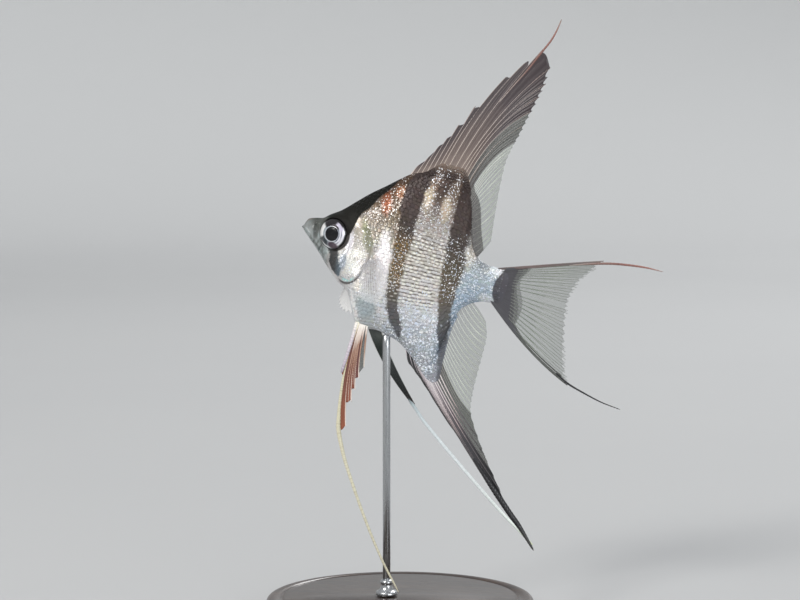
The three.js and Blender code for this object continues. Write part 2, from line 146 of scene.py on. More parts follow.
def spline(points, at):
    """Catmull-Rom through points, at parameters from 0 to 1."""
    points = np.asarray(points, float)
    count = len(points) - 1
    padded = np.concatenate([[2 * points[0] - points[1]], points, [2 * points[-1] - points[-2]]])
    at = np.clip(np.asarray(at, float), 0, 1) * count
    i = np.minimum(at.astype(int), count - 1)
    t = (at - i)[..., None]
    a, b, c, d = (padded[i + k] for k in range(4))
    return 0.5 * (2 * b + (c - a) * t + (2 * a - 5 * b + 4 * c - d) * t**2 + (3 * b - 3 * c + d - a) * t**3)


def smooth(value, low, high):
    """0 below low, 1 above high, and a smooth rise between them."""
    t = np.clip((value - low) / (high - low), 0, 1)
    return t * t * (3 - 2 * t)


def bell(value, width):
    return np.exp(-((value / width) ** 2))


def unit(vectors):
    return vectors / np.maximum(np.linalg.norm(vectors, axis=-1, keepdims=True), 1e-12)


def circle(columns):
    return np.linspace(0, FULL_TURN, columns, endpoint=False)


# ---- the body's outline and thickness, as in the solids ----

backline = profile([
    (0, 0.35), (0.4, 1.9), (1.2, 3.2), (3.0, 3.9), (5.9, 4.7), (8.5, 6.6), (11.5, 9.1), (14.8, 12.3),
    (18.6, 15.9), (22.5, 19.1), (26.6, 22.6), (29.6, 24.9), (33.0, 26.3), (38.3, 27.0), (43.1, 27.1),
    (46.2, 26.2), (48.6, 23.9), (50.6, 19.4), (52.4, 11.8), (54.4, 7.0), (57.0, 4.6), (60.5, 3.6),
    (BODY_LENGTH, 3.7),
])
bellyline = profile([
    (0, -0.35), (1.2, -1.3), (3.4, -3.3), (6.9, -6.5), (10.0, -9.6), (13.2, -12.5), (15.4, -14.2),
    (17.2, -15.1), (18.8, -16.6), (20.3, -19.2), (22.2, -23.2), (23.8, -25.3), (26.0, -26.0),
    (30.5, -25.4), (33.4, -25.9), (37.5, -26.9), (42.8, -30.3), (45.3, -32.2), (47.6, -33.2),
    (49.4, -32.6), (50.6, -30.0), (51.4, -25.5), (52.5, -19.8), (53.9, -14.0), (55.8, -10.9),
    (58.4, -9.0), (61.5, -7.9), (BODY_LENGTH, -7.6),
])
half_width = profile([
    (0, 1.1), (1.2, 1.9), (3.4, 2.8), (7.0, 3.9), (11.0, 4.9), (16.0, 5.6), (22.0, 6.1), (30.0, 6.1),
    (38.0, 5.5), (44.0, 4.7), (50.0, 3.7), (55.0, 2.8), (60.0, 2.2), (BODY_LENGTH, 1.7),
])
widest_height = profile([(0, 0.2), (6, -1.0), (14, -1.6), (30, -1.0), (50, -1.8), (BODY_LENGTH, -2.0)])


FULLNESS_OVER, FULLNESS_UNDER = 0.72, 0.6  # how round the section is over and under its middle


def section(x, turn):
    """Points on the body. turn runs round it: 0 is the back, pi/2 the right flank, pi the belly."""
    height = np.cos(turn)
    middle = widest_height(x)
    reach = np.where(height > 0, backline(x) - middle, middle - bellyline(x))
    fullness = np.where(height > 0, FULLNESS_OVER, FULLNESS_UNDER)
    wide = half_width(x) * np.maximum(1 - np.abs(height) ** 2.2, 0) ** fullness
    return np.stack([x + 0 * turn, np.sign(np.sin(turn)) * wide, middle + reach * height], -1)


def outward(x, turn):
    """The body's outward direction, from small differences along it and round it."""
    dx, dt = 0.05, 0.01
    x = np.clip(x, dx, BODY_LENGTH - dx)
    along = (section(x + dx, turn) - section(x - dx, turn)) / (2 * dx)
    around = (section(x, turn + dt) - section(x, turn - dt)) / (2 * dt)
    return unit(np.cross(along, around))


def turn_at(x, z):
    """Where on the right flank a side-view point lies."""
    middle = widest_height(x)
    reach = np.where(z > middle, backline(x) - middle, middle - bellyline(x))
    return np.arccos(np.clip((z - middle) / reach, -0.999, 0.999))


# ---- meshes ----


def make_mesh(name, points, faces, in_fish_frame=True, **attributes):
    """A smooth mesh object. faces is a list of index arrays, one row a face."""
    mesh = bpy.data.meshes.new(name)
    points = np.asarray(points, float)
    placed = world(points) if in_fish_frame else points / MM
    corners = np.concatenate([np.asarray(f).ravel() for f in faces]).astype(np.int32)
    sizes = np.concatenate([np.full(len(f), np.shape(f)[1]) for f in faces])
    mesh.vertices.add(len(points))
    mesh.vertices.foreach_set("co", placed.astype(np.float32).ravel())
    mesh.loops.add(len(corners))
    mesh.loops.foreach_set("vertex_index", corners)
    mesh.polygons.add(len(sizes))
    mesh.polygons.foreach_set("loop_start", (np.cumsum(sizes) - sizes).astype(np.int32))
    mesh.update(calc_edges=True)
    mesh.polygons.foreach_set("use_smooth", np.ones(len(sizes), bool))
    for key, values in attributes.items():
        values = np.asarray(values, np.float32)
        kind, field = ("FLOAT_VECTOR", "vector") if values.ndim == 2 else ("FLOAT", "value")
        mesh.attributes.new(key, kind, "POINT").data.foreach_set(field, values.ravel())
    mesh.validate()
    obj = bpy.data.objects.new(name, mesh)
    bpy.context.scene.collection.objects.link(obj)
    return obj


def add_unwrap(obj, spots):
    """The OFBake map, from one spot a corner."""
    layer = obj.data.uv_layers.new(name="OFBake")
    layer.data.foreach_set("uv", np.asarray(spots, np.float32).ravel())


def finish_piece(obj, material, slot, *nodes):
    obj.data.materials.append(material)
    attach(obj, "root")
    if nodes:
        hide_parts(*nodes)


def grid_faces(rows, columns, closed=False):
    """Quads over a rows x columns grid of points; closed joins the last column to the first."""
    r, c = np.meshgrid(np.arange(rows - 1), np.arange(columns if closed else columns - 1), indexing="ij")
    right = (c + 1) % columns
    quad = [r * columns + c, r * columns + right, (r + 1) * columns + right, (r + 1) * columns + c]
    return np.stack(quad, -1).reshape(-1, 4)


def cap_faces(first, columns, centre, flip=False):
    """Triangles from a ring of points, starting at first, to the point at its centre."""
    ring = first + np.arange(columns)
    fan = np.stack([np.full(columns, centre), ring, np.roll(ring, -1)], -1)
    return fan[:, [0, 2, 1]] if flip else fan


def ring_faces(rows, columns, flip=False):
    """The faces of a stack of closed rings, whose end caps meet in two points after the rings."""
    quads, last = grid_faces(rows, columns, closed=True), (rows - 1) * columns
    return [
        quads[:, ::-1] if flip else quads,
        cap_faces(0, columns, last + columns, not flip),
        cap_faces(last, columns, last + columns + 1, flip),
    ]


def capped(rings):
    """Rings of points, and then the middles of the first and the last ring."""
    return np.concatenate([rings.reshape(-1, 3), [rings[0].mean(0), rings[-1].mean(0)]])


def rim_of(index):
    """The border of a grid of point numbers, in order round it."""
    return np.concatenate([index[0, :-1], index[:-1, -1], index[-1, :0:-1], index[:0:-1, 0]])


def repeated(faces, count, size):
    """The faces of count copies of a shape of size points, its copies' points in a row."""
    offsets = (np.arange(count) * size)[:, None, None]
    return [(f[None] + offsets).reshape(-1, f.shape[1]) for f in faces]


# ---- node trees ----


def linear(code):
    """A colour from its usual six-digit code, in linear light."""
    parts = [int(code[i : i + 2], 16) / 255 for i in (0, 2, 4)]
    return (*[c / 12.92 if c <= 0.04045 else ((c + 0.055) / 1.055) ** 2.4 for c in parts], 1.0)


class Value:
    """An output in a node tree. Arithmetic on it adds Math nodes."""

    def __init__(self, tree, socket):
        self.tree, self.socket = tree, socket

    def math(self, operation, *others):
        return self.tree.add("Math", enumerate((self, *others)), operation=operation)

    def __add__(self, other):
        return self.math("ADD", other)

    def __sub__(self, other):
        return self.math("SUBTRACT", other)

    def __mul__(self, other):
        return self.math("MULTIPLY", other)

    def __truediv__(self, other):
        return self.math("DIVIDE", other)

    def __abs__(self):
        return self.math("ABSOLUTE")

    def rise(self, low, high, to_low=0.0, to_high=1.0):
        """A smooth rise from to_low to to_high as the value goes from low to high."""
        ends = {"Value": self, "From Min": low, "From Max": high, "To Min": to_low, "To Max": to_high}
        return self.tree.add("MapRange", ends, "Result", interpolation_type="SMOOTHSTEP")

    def fall(self, low, high):
        return self.rise(low, high, 1.0, 0.0)

    def between(self, low, high, soft):
        return self.rise(low - soft, low + soft) * self.fall(high - soft, high + soft)

    def curve(self, function, span, reach, knots):
        """A function of the value as a float curve, over span, giving values within reach."""
        low, high = span
        drawn = self.tree.add("FloatCurve", {"Value": (self - low) / (high - low)})
        mapping = drawn.socket.node.mapping
        points = mapping.curves[0].points
        for t in np.linspace(0, 1, knots):
            height = (float(function(low + t * (high - low))) - reach[0]) / (reach[1] - reach[0])
            if 0 < t < 1:
                points.new(t, height)
            else:
                points[0 if t == 0 else -1].location = (t, height)
        mapping.update()
        return drawn * (reach[1] - reach[0]) + reach[0]


def hypot(a, b):
    return (a * a + b * b).math("SQRT")


def most(largest, *others):
    for other in others:
        largest = largest.math("MAXIMUM", other)
    return largest


class Tree:
    """A material whose nodes are made with one call each."""

    def __init__(self, name):
        self.material = bpy.data.materials.new(name)
        self.material.use_nodes = True
        self.nodes, self.links = self.material.node_tree.nodes, self.material.node_tree.links
        self.nodes.clear()

    def add(self, kind, inputs=(), output=0, **settings):
        node = self.nodes.new(f"ShaderNode{kind}")
        for key, value in settings.items():
            setattr(node, key, value)
        for socket, value in dict(inputs).items():
            if isinstance(value, Value):
                self.links.new(value.socket, node.inputs[socket])
            else:
                node.inputs[socket].default_value = linear(value) if isinstance(value, str) else value
        return Value(self, node.outputs[output])

    def finished(self, **values):
        """The material, from the shader's inputs by name, with _ for a space."""
        shader = self.add("BsdfPrincipled", {key.replace("_", " "): value for key, value in values.items()})
        output = self.nodes.new("ShaderNodeOutputMaterial")
        self.links.new(shader.socket, output.inputs["Surface"])
        return self.material

    def mix(self, share, low, high, blend="MIX"):
        return self.add("Mix", {0: share, 6: low, 7: high}, 2, data_type="RGBA", blend_type=blend)

    def paint(self, under, layers):
        """Colours laid over one another; layers are (share, colour)."""
        for share, over in layers:
            under = self.mix(share, under, over)
        return under

    def ramp(self, value, stops):
        """Colours along a value; stops is text such as "0 8f8078, 1 352b2e", or one colour."""
        if "," not in stops:
            return stops
        colours = self.add("ValToRGB", {"Fac": value}, "Color")
        elements = colours.socket.node.color_ramp.elements
        stops = [stop.split() for stop in stops.split(",")]
        while len(elements) < len(stops):
            elements.new(0.5)
        for element, (place, code) in zip(elements, stops):
            element.position = float(place)
            element.color = linear(code)
        return colours

    def attribute(self, name, output="Vector"):
        return self.add("Attribute", output=output, attribute_name=name)

    def split(self, vector):
        parts = self.add("SeparateXYZ", {"Vector": vector}).socket.node.outputs
        return [Value(self, part) for part in parts]

    def join(self, x, y=0.0, z=0.0):
        return self.add("CombineXYZ", enumerate((x, y, z)))

    def scaled(self, vector, scale):
        return self.add("VectorMath", {0: vector, 1: scale}, operation="MULTIPLY")

    def noise(self, vector, scale, detail=3.0, roughness=0.55):
        values = {"Vector": vector, "Scale": scale, "Detail": detail, "Roughness": roughness}
        return self.add("TexNoise", values, "Fac")

    def cells(self, vector, scale):
        """The distance to the nearest of scattered points, and a random number for that point."""
        cell = self.add("TexVoronoi", {"Vector": vector, "Scale": scale}, "Distance")
        picked = Value(self, cell.socket.node.outputs["Color"])
        return cell, self.split(picked)[0]

    def millimetres(self):
        """The place in the object's own frame, in millimetres."""
        return self.scaled(self.add("TexCoord", output="Object"), (MM, MM, MM))

    def bump(self, height, depth, strength):
        """A normal from a height of 0 to 1; depth is in millimetres."""
        return self.add("Bump", {"Height": height, "Strength": strength, "Distance": depth / MM})


# ---- markings, shared by the skin and the scales ----

# Each bar is (height, where its middle is along the fish, half its width).
BAR_UNDER_EYE = [
    (-12.2, 15.0, 0.1), (-10.7, 14.7, 1.3), (-8.8, 13.8, 2.0), (-6, 12.8, 2.0), (-3.5, 12.0, 2.0),
]
BAR_BEHIND_GILLS = [
    (-26.2, 38.6, 0.3), (-24, 37.6, 1.3), (-21.5, 36.6, 1.7), (-18, 35.1, 2.2), (-14, 33.9, 2.0),
    (-9, 33.5, 2.1), (-5, 33.4, 2.3), (1, 33.1, 2.4), (7, 33.2, 2.9), (11, 32.9, 2.9),
    (17, 32.6, 3.3), (23, 33.0, 3.3), (28, 34.8, 2.5),
]
BAR_TO_THE_FINS = [
    (-34, 53.4, 1.4), (-27, 52.5, 1.4), (-23, 51.8, 1.6), (-18, 51.1, 2.0), (-12, 50.0, 2.3),
    (-8, 49.8, 2.8), (-3, 50.0, 3.2), (1, 49.9, 3.5), (6, 49.3, 3.1), (12, 49.2, 3.1),
    (18, 49.0, 3.0), (23, 48.3, 2.6), (28, 47.8, 2.3),
]
FAINT_BAR = [(12, 40.4, 0.4), (19, 40.5, 1.4), (24, 41.2, 2.3), (28, 42.0, 2.5)]
# The lower edge of the dark forehead, from the upper lip over and behind the eye to the nape.
forehead_edge = profile([
    (0, 2.0), (0.7, 2.6), (4, 3.7), (7.2, 5.2), (9, 5.2), (12.5, 4.2), (15, 1.4), (16.2, 2.0), (17, 5.4),
    (18, 9.0), (20.2, 11.6), (22.1, 15.4), (23.7, 17.2), (26, 20.9), (28.5, 24.0), (31, 27.0),
])

# The flank's colours from the belly's edge up to the back, for its front, middle and rear.
FRONT_COLOURS = (
    "0.16 c8cdd0, 0.28 d3d5d6, 0.40 dcd9d9, 0.52 cfcbc6, 0.62 a39c91, 0.69 83786c, 0.76 6b5a49,"
    "0.86 5b4535, 1 4a382c"
)
MIDDLE_COLOURS = (
    "0 aeb4bb, 0.16 b4bbc3, 0.28 d3d6dc, 0.42 e2dfde, 0.55 d4cfc7, 0.66 c3bebb, 0.78 a09690,"
    "0.88 806f62, 1 5c4d46"
)
REAR_COLOURS = (
    "0 98a3b2, 0.20 a3b3c3, 0.38 a4b9ce, 0.52 b0bec9, 0.64 aaaaa9, 0.76 8d837b, 0.88 675954, 1 4c4242"
)
BAR_COLOURS = (
    "0 585a61, 0.16 5b5e65, 0.30 625f5d, 0.42 625543, 0.55 5a5142, 0.66 463e3a, 0.80 4b403f, 1 382f2f"
)

# Soft ovals laid over the flank, in order:
# (strength, colour, centre, size, lean of its top, softness of its edge, whether it keeps still).
PALE_PATCHES = [
    (0.60, "ddd5c6", (54.2, 7.0), (1.5, 6.5)),
    (0.55, "7f8a8f", (59.6, 3.4), (3.2, 1.3)),
    (0.80, "eaeff3", (63.4, 2.7), (3.0, 1.5)),
    (0.80, "eaeff3", (62.6, -6.9), (3.0, 1.5)),
    (0.75, "f3f2ec", (17.4, -6.8), (3.9, 3.6)),
    (0.80, "fffcf4", (22.4, -12.6), (1.4, 1.8)),
    (0.75, "e0d0b8", (37.2, 19.0), (1.4, 3.6), 0.0, 0.5),
    (0.75, "e0d0b8", (43.2, 17.0), (1.4, 3.6), 0.0, 0.5),
]
HEAD_AND_SHOULDER_PATCHES = [
    (0.75, "99a5b6", (16.0, -6.6), (1.2, 2.8), 0.0, 0.4, True),
    (0.75, "f3eff6", (16.8, -0.6), (1.1, 3.6), 0.0, 0.4, True),
    (0.75, "fffef6", (20.4, -3.0), (2.7, 1.3), 0.0, 0.4, True),
    (0.75, "f6f7f3", (19.7, -8.0), (2.4, 1.8), 0.0, 0.4, True),
    (0.60, "78805c", (22.0, 2.6), (1.5, 5.2), 0.45, 0.5),
    (0.80, "9c5738", (24.9, 14.6), (1.7, 3.4), 0.2, 0.5),
    (0.75, "a67250", (28.2, 18.8), (1.5, 1.9), 0.0, 0.5),
]
CHEST_HIGHLIGHT_AND_PATCH = [
    # A painted highlight down the chest's front edge.
    (0.85, "ffffff", (22.3, -19.6), (0.8, 5.6), 0.38, 0.6),
    (0.70, "f1f2f5", (31.0, -17.0), (1.6, 3.9), 0.3, 0.5),
]


def markings(tree):
    """The body's colour and its markings, from the place on the fish."""
    at = tree.attribute("fish_at")
    waver = tree.noise(at, 0.45, 2.0)
    grain = tree.noise(at, 1.9, 3.0, 0.6)
    x, _, z = tree.split(at)
    wavy_x = x + waver * 2.0 + grain * 1.2 - 1.6
    wavy_z = z + grain * 1.6 - 0.8

    def bar(shape, softness=1.0):
        shape = np.array(shape)
        span = (shape[0, 0], shape[-1, 0])
        centre = z.curve(profile(shape[:, [0, 1]]), span, (8.0, 56.0), 18)
        half = z.curve(profile(shape[:, [0, 2]]), span, (0.0, 5.0), 18)
        return (abs(wavy_x - centre) - half).fall(-0.75 * softness, 0.45 * softness)

    def patch(centre, size, lean=0.0, soft=0.35, steady=False):
        """A soft oval; lean tips its top forwards, in millimetres for each millimetre up."""
        up = (z if steady else wavy_z) - centre[1]
        along = (x if steady else wavy_x) - centre[0] + up * lean
        return hypot(along / size[0], up / size[1]).fall(1 - soft, 1 + soft)

    def patches(table):
        return [(patch(*oval) * strength, code) for strength, code, *oval in table]

    def mottling(scale, *noise):
        return tree.noise(tree.scaled(at, scale), 1.0, *noise)

    under_eye = bar(BAR_UNDER_EYE, 0.7) * z.rise(-12.4, -11.2) * z.fall(-2.0, 2.0)
    second = bar(BAR_BEHIND_GILLS) * z.rise(-26.4, -25.2)
    third = bar(BAR_TO_THE_FINS)
    faint = bar(FAINT_BAR, 1.8) * z.rise(12.0, 21.0) * 0.8
    bars = most(second, third, faint)
    over_edge = wavy_z - x.curve(forehead_edge, (0.0, 31.0), (0.0, 28.0), 32)
    forehead = over_edge.rise(-0.35, 0.55) * x.fall(25.0, 29.5)
    hollow = (z + 2.6) / 6.4
    tail = (x - hollow * hollow * 2.5 - 63.1 + grain * 0.8 - 0.4).rise(-0.3, 0.35)
    snout = x.fall(9.0, 13.5)
    # The pale silver behind the gill, painted up to near-white as a painted highlight.
    white = patch((28.5, -3.6), (2.2, 9.2), 0.12)
    chest = patch((26.2, -18.6), (3.1, 4.4), 0.0, 0.5)
    face = x.rise(13.5, 15.5) * x.fall(22.0, 26.0) * z.rise(-13.0, -11.0)
    gold = second * z.between(-9.0, 6.0, 2.5) * grain.rise(0.4, 0.62)
    eye_side = z * 0.5 + x - 11.4
    socket = hypot(x - 11.15, z - 0.9).fall(5.1, 5.5) * eye_side.rise(-3.4, -0.6)
    # On the feet of the fins the skin takes on the colour of the fins.
    on_back = (z - x.curve(backline, (26.0, 62.0), (0.0, 34.0), 24)).rise(0.3, 3.0)
    on_belly = (x.curve(bellyline, (34.0, 62.0), (-40.0, 0.0), 24) - z).rise(0.6, 4.2)

    up = (wavy_z + 34.0) / 62.0
    flank = tree.mix(wavy_x.rise(31.0, 34.0), tree.ramp(up, FRONT_COLOURS), tree.ramp(up, MIDDLE_COLOURS))
    flank = tree.mix(wavy_x.rise(48.0, 51.5), flank, tree.ramp(up, REAR_COLOURS))
    folds = mottling((0.8, 1.0, 0.25), 3.0, 0.5).rise(0.32, 0.62)
    grey = tree.paint(tree.mix(folds, "505957", "949ea0"), [
        (patch((2.2, 0.8), (1.6, 2.4), 0.0, 0.6, True) * 0.6, "aab4b6"),
        (wavy_z.rise(-2.2, 3.2) * x.rise(1.2, 4.0, 0.55, 0.85), "2a302c"),
        (patch((4.4, 0.6), (0.42, 3.0), 0.15, 0.6, True) * 0.75, "2a3130"),
        (patch((7.4, -4.4), (0.34, 1.3), -0.35, 0.5, True) * 0.85, "182426"),
    ])
    streaks = mottling((1.5, 1.0, 0.45), 4.0, 0.65).rise(0.28, 0.62)
    blotches = mottling((0.9, 1.0, 0.6), 4.0, 0.65).rise(0.5, 0.62)
    forehead_colour = tree.mix(x.rise(5.0, 10.0), "353c38", tree.mix(grain, "050604", "12130d"))
    body = tree.paint(flank, [
        (snout * 0.92, grey),
        # Painted highlight over the pale silver behind the gill.
        (white * 0.97, "fffafc"),
        *patches(PALE_PATCHES),
        (blotches * face * 0.45, tree.mix(waver, "8f9088", "98929c")),
        *patches(HEAD_AND_SHOULDER_PATCHES),
        (chest * 0.85, "a6b2b7"),
        *patches(CHEST_HIGHLIGHT_AND_PATCH),
        (patch((26.0, -8.0), (3.4, 6.2), 0.3, 0.5) * streaks * 0.5, "918d8c"),
        (bars * 0.95, tree.ramp(up, BAR_COLOURS)),
        (gold * 0.55, tree.mix(waver, "a06a3a", "9c8a4e")),
        (under_eye * 0.92, tree.mix(x.rise(13.0, 16.4), "0c1216", "677a88")),
        (forehead * 0.985, forehead_colour),
        (socket * 0.93, "0d0a09"),
        (tail * 0.97, tree.mix(grain, "4f4d53", "57555b")),
        (on_back * 0.8, tree.mix(x.rise(43.0, 49.0), "83746a", "57504d")),
        (on_belly * (bars * -0.6 + 0.7), "a9a9b0"),
    ])

    # How thickly the painted glints (painted highlights) lie, and where the flank's scales carry rows of
    # painted highlight dashes with painted shade between them.
    high_front = over_edge.rise(0.0, -1.5) * x.rise(18.0, 21.0) * z.rise(-1.0, 7.0)
    painted_glints = most(
        high_front * 0.4,
        x.rise(31.0, 35.0) * z.rise(7.0, 12.0) * 0.8,
        z.fall(-15.0, -11.0) * x.rise(27.0, 32.0) * 0.9,
        x.rise(50.0, 53.0) * 0.85,
        face * 0.28,
        0.2,
    )
    bare = most(forehead, under_eye, socket, tail, chest, bars * most(z.rise(7.0, 12.0), z.fall(-12.0, -7.0)))
    rear_low = z.between(-25.0, -13.0, 1.5) * x.rise(52.5, 54.5)
    painted_glints = painted_glints * (snout * -0.85 + 1.0) * (bare * -0.92 + 1.0) * (rear_low * -0.6 + 1.0)
    lively_bars = most(second, third) * z.between(-11.0, 9.0, 2.0) * 0.55
    # Where the flank's scales carry painted highlight dashes with painted shade between them.
    dash_light_and_shade = wavy_x.between(35.6, 46.6, 0.8) * wavy_z.between(-14.0, 8.5, 2.0)
    return SimpleNamespace(
        at=at, x=x, z=z, grain=grain, colour=body, snout=snout,
        dark=most(bars, forehead, under_eye, socket, tail),
        warm=most(high_front * x.rise(31.0, 34.0, 0.5, 0.18), gold * 0.8),
        painted_glints=most(painted_glints, lively_bars) * (most(on_back, on_belly) * -0.8 + 1.0),
        broad=wavy_z.rise(-9.0, -13.0) * x.rise(29.0, 33.0),
        dash_light_and_shade=most(dash_light_and_shade, second * z.between(-14.0, -7.0, 1.2) * 0.6),
        plain=most(chest, white, x.rise(21.0, 25.0, 0.85, 0.0)),
    )


def add_painted_glints(tree, body, marks, tone):
    """Painted glints: scattered painted highlights, finer than the scales; the broadest also leave painted
    shade in dark hollows.
    """
    glint_colour = tree.mix(marks.warm * 0.6, tree.mix(tone, "ffffff", "e2ecff"), "ffe3b0")
    chance = marks.painted_glints * 0.85
    for scale, share in ((0.85, marks.broad), (1.5, None), (2.5, None)):
        size, pick = tree.cells(marks.at, scale)
        # Each speck is a painted highlight.
        glint_highlight = size.fall(0.22, 0.42) * (pick + chance - 1.0).rise(0.0, 0.12) * 0.95
        if share:
            # Painted shade in dark hollows beside the broadest specks.
            hollow = pick.rise(0.14, 0.06) * size.fall(0.25, 0.5) * chance * share
            body = tree.mix(hollow * 0.6, body, "8b93a0")
            glint_highlight = glint_highlight * share
        body = tree.mix(glint_highlight, body, glint_colour)
    return body


# ---- skin ----

EYE_RIM = 0.16
BEHIND_EYE = 0.75  # how far the skin keeps behind the eyeball


def eye_frame(side):
    """The eye's centre, its outward axis and its tailward axis."""
    centre = np.array([EYE_CENTRE[0], side * EYE_CENTRE[1], EYE_CENTRE[2]])
    outwards = np.array([-math.sin(EYE_TURN), side * math.cos(EYE_TURN), 0])
    tailwards = np.array([math.cos(EYE_TURN), side * math.sin(EYE_TURN), 0])
    return centre, outwards, tailwards


def dome(radius):
    """The eyeball's height over its centre plane."""
    return EYE_DEPTH * np.sqrt(np.maximum(1 - (radius / EYE_RADIUS) ** 2, 0))


def set_eyes(points):
    """Draws the skin in to a lid-less rim round each eye, and behind the eyeball inside it."""
    for side in (-1, 1):
        centre, outwards, tailwards = eye_frame(side)
        away = points - centre
        high = away @ outwards
        radius = np.hypot(away @ tailwards, away[..., 2])
        near = (points[..., 1] * side > 0) & (radius < 9)
        rim = dome(EYE_OPENING) + EYE_RIM * bell(radius - EYE_OPENING - 0.35, 0.4)
        outside = rim + (high - rim) * smooth(radius, EYE_OPENING + 0.25, EYE_OPENING + 2.6)
        inside = dome(radius) - BEHIND_EYE
        edge = smooth(radius, EYE_OPENING - 0.1, EYE_OPENING + 0.14)
        target = np.where(radius > EYE_OPENING + 0.14, outside, inside * (1 - edge) + outside * edge)
        moved = points + outwards * (target - high)[..., None]
        points = np.where(near[..., None], moved, points)
    return points


MOUTH_LINE = np.array([(-0.5, 0.0), (1.5, -0.7), (3.2, -1.9), (5.0, -3.3), (6.6, -4.5), (7.4, -5.5)])
CHEEK_LINE = np.array([(17.2, 4.5), (17.4, -1.5), (16.6, -6.5), (13.6, -10.3)])
HEAD_PORES = [
    (5.4, -1.3), (6.2, -3.4), (8.1, -5.6), (10.8, -6.6), (13.4, -6.3), (2.6, 2.2), (16.6, 4.8), (15.6, 6.9),
]
NOSTRIL = (4.3, 2.3)
CHEEK, CHEEK_REACH = (13.2, -8.3), (4.2, 2.6)
MOUTH_DEPTH, LIP_HEIGHT, NOSTRIL_DEPTH, PORE_DEPTH = 0.34, 0.17, 0.34, 0.1
GILL_SWELL, GILL_GROOVE = 0.2, 0.26


def distance_to_line(x, z, line):
    """The distance to a side-view line, and how far along it (0 to 1) the nearest point is."""
    best = np.full(np.shape(x), 1e9)
    along = np.zeros(np.shape(x))
    for k, (a, b) in enumerate(zip(line[:-1], line[1:])):
        step = b - a
        t = np.clip(((x - a[0]) * step[0] + (z - a[1]) * step[1]) / (step @ step), 0, 1)
        gap = np.hypot(x - a[0] - t * step[0], z - a[1] - t * step[1])
        nearer = gap < best
        best = np.where(nearer, gap, best)
        along = np.where(nearer, (k + t) / (len(line) - 1), along)
    return best, along


def in_gill_cover(x, z):
    """The place in the gill cover's leaning oval, along and up it, as shares of its size."""
    dx, dz = x - GILL.x, z - GILL.z
    cos, sin = math.cos(GILL.lean), math.sin(GILL.lean)
    return (dx * cos - dz * sin) / GILL.half_length, (dx * sin + dz * cos) / GILL.half_height


def outside_gill_cover(x, z):
    """Rough distance outside the gill cover, negative inside."""
    return (np.hypot(*in_gill_cover(x, z)) - 1) * 5.6


def head_relief(x, z):
    """How far the skin of the head stands out, in millimetres."""
    gap, along_mouth = distance_to_line(x, z, MOUTH_LINE)
    fade = 1 - 0.45 * along_mouth
    height = -MOUTH_DEPTH * fade * bell(gap, 0.17) + LIP_HEIGHT * fade * bell(gap - 0.6, 0.38)
    off = outside_gill_cover(x, z)
    rear = smooth(in_gill_cover(x, z)[0], -0.25, 0.35)
    over_edge = smooth(off, -0.12, 0.06)
    swell = GILL_SWELL * bell(np.minimum(off + 0.35, 0), 1.6) * (1 - over_edge)
    groove = -GILL_GROOVE * over_edge * np.exp(-np.maximum(off, 0) / 0.8)
    height += rear * (swell + groove)
    edge, _ = distance_to_line(x, z, CHEEK_LINE)
    height += -0.1 * bell(edge, 0.22) + 0.07 * bell(edge - 0.7, 0.45)
    nostril = np.hypot(x - NOSTRIL[0], z - NOSTRIL[1])
    height += -NOSTRIL_DEPTH * bell(nostril, 0.27) + 0.1 * bell(nostril - 0.48, 0.2)
    for pore_x, pore_z in HEAD_PORES:
        height += -PORE_DEPTH * bell(np.hypot(x - pore_x, z - pore_z), 0.14)
    cheek = np.hypot((x - CHEEK[0]) / CHEEK_REACH[0], (z - CHEEK[1]) / CHEEK_REACH[1])
    return height + 0.12 * bell(cheek, 0.8)


SKIN_COLUMNS = 288
HEAD_START, HEAD_STEP, REST_START, REST_STEP = 0.06, 0.125, 26, 0.42  # the skin's rings
LIP_BENDS = np.radians([75, 55, 35, 15])
LIP_LENGTH = 0.36
TAIL_EDGE_SHARES = (0.15, 0.35, 0.55, 0.78, 1.0)
TAIL_EDGE_LENGTH = 2.1


def skin_rings():
    """The skin as rings of points, from the lips to the tail's root."""
    head, rest = np.arange(HEAD_START, REST_START, HEAD_STEP), np.arange(REST_START, BODY_LENGTH, REST_STEP)
    stations = np.concatenate([head, rest, [BODY_LENGTH]])
    x, turns = np.meshgrid(stations, circle(SKIN_COLUMNS), indexing="ij")
    points = section(x, turns)
    relief = head_relief(points[..., 0], points[..., 2]) * (1 - smooth(x, *HEAD_FADE))
    points = set_eyes(points + outward(x, turns) * (relief - SKIN_DEPTH)[..., None])
    # Rounded lips in front, and a thin edge over the tail fin's root behind.
    front, rear = [], []
    for bend in LIP_BENDS:
        share = math.cos(bend)
        ring = points[0] * [0, share, share]
        front.append(ring + [HEAD_START - LIP_LENGTH * math.sin(bend), 0, (1 - share) * 0.1])
    for share in TAIL_EDGE_SHARES:
        ring = points[-1] * [1, 1 - 0.92 * share, 1 - 0.1 * share**2]
        rear.append(ring + [TAIL_EDGE_LENGTH * share, 0, 0])
    return np.concatenate([np.array(front), points, np.array(rear)])


def add_skin():
    rings = skin_rings()
    points, faces = capped(rings), ring_faces(len(rings), SKIN_COLUMNS, True)
    obj = make_mesh("skin", points, faces, fish_at=points)
    around = np.tile(np.arange(SKIN_COLUMNS), len(rings)) / SKIN_COLUMNS
    lengthways = np.repeat(np.linspace(0.01, 0.99, len(rings)), SKIN_COLUMNS)
    spots = np.stack([np.append(lengthways, [0.0, 1.0]), np.append(around, [0.5, 0.5])], -1)
    corner_spots = []
    for block in faces:
        block_spots = spots[block]
        # A face over the seam goes on to the unwrap's end, not back to its start.
        wraps = np.ptp(block_spots[..., 1], axis=-1) > 0.6
        late = wraps[:, None] & (block_spots[..., 1] < 0.2)
        block_spots[..., 1] = np.where(late, 1.0, block_spots[..., 1])
        corner_spots.append(block_spots.reshape(-1, 2))
    add_unwrap(obj, np.concatenate(corner_spots))
    return obj


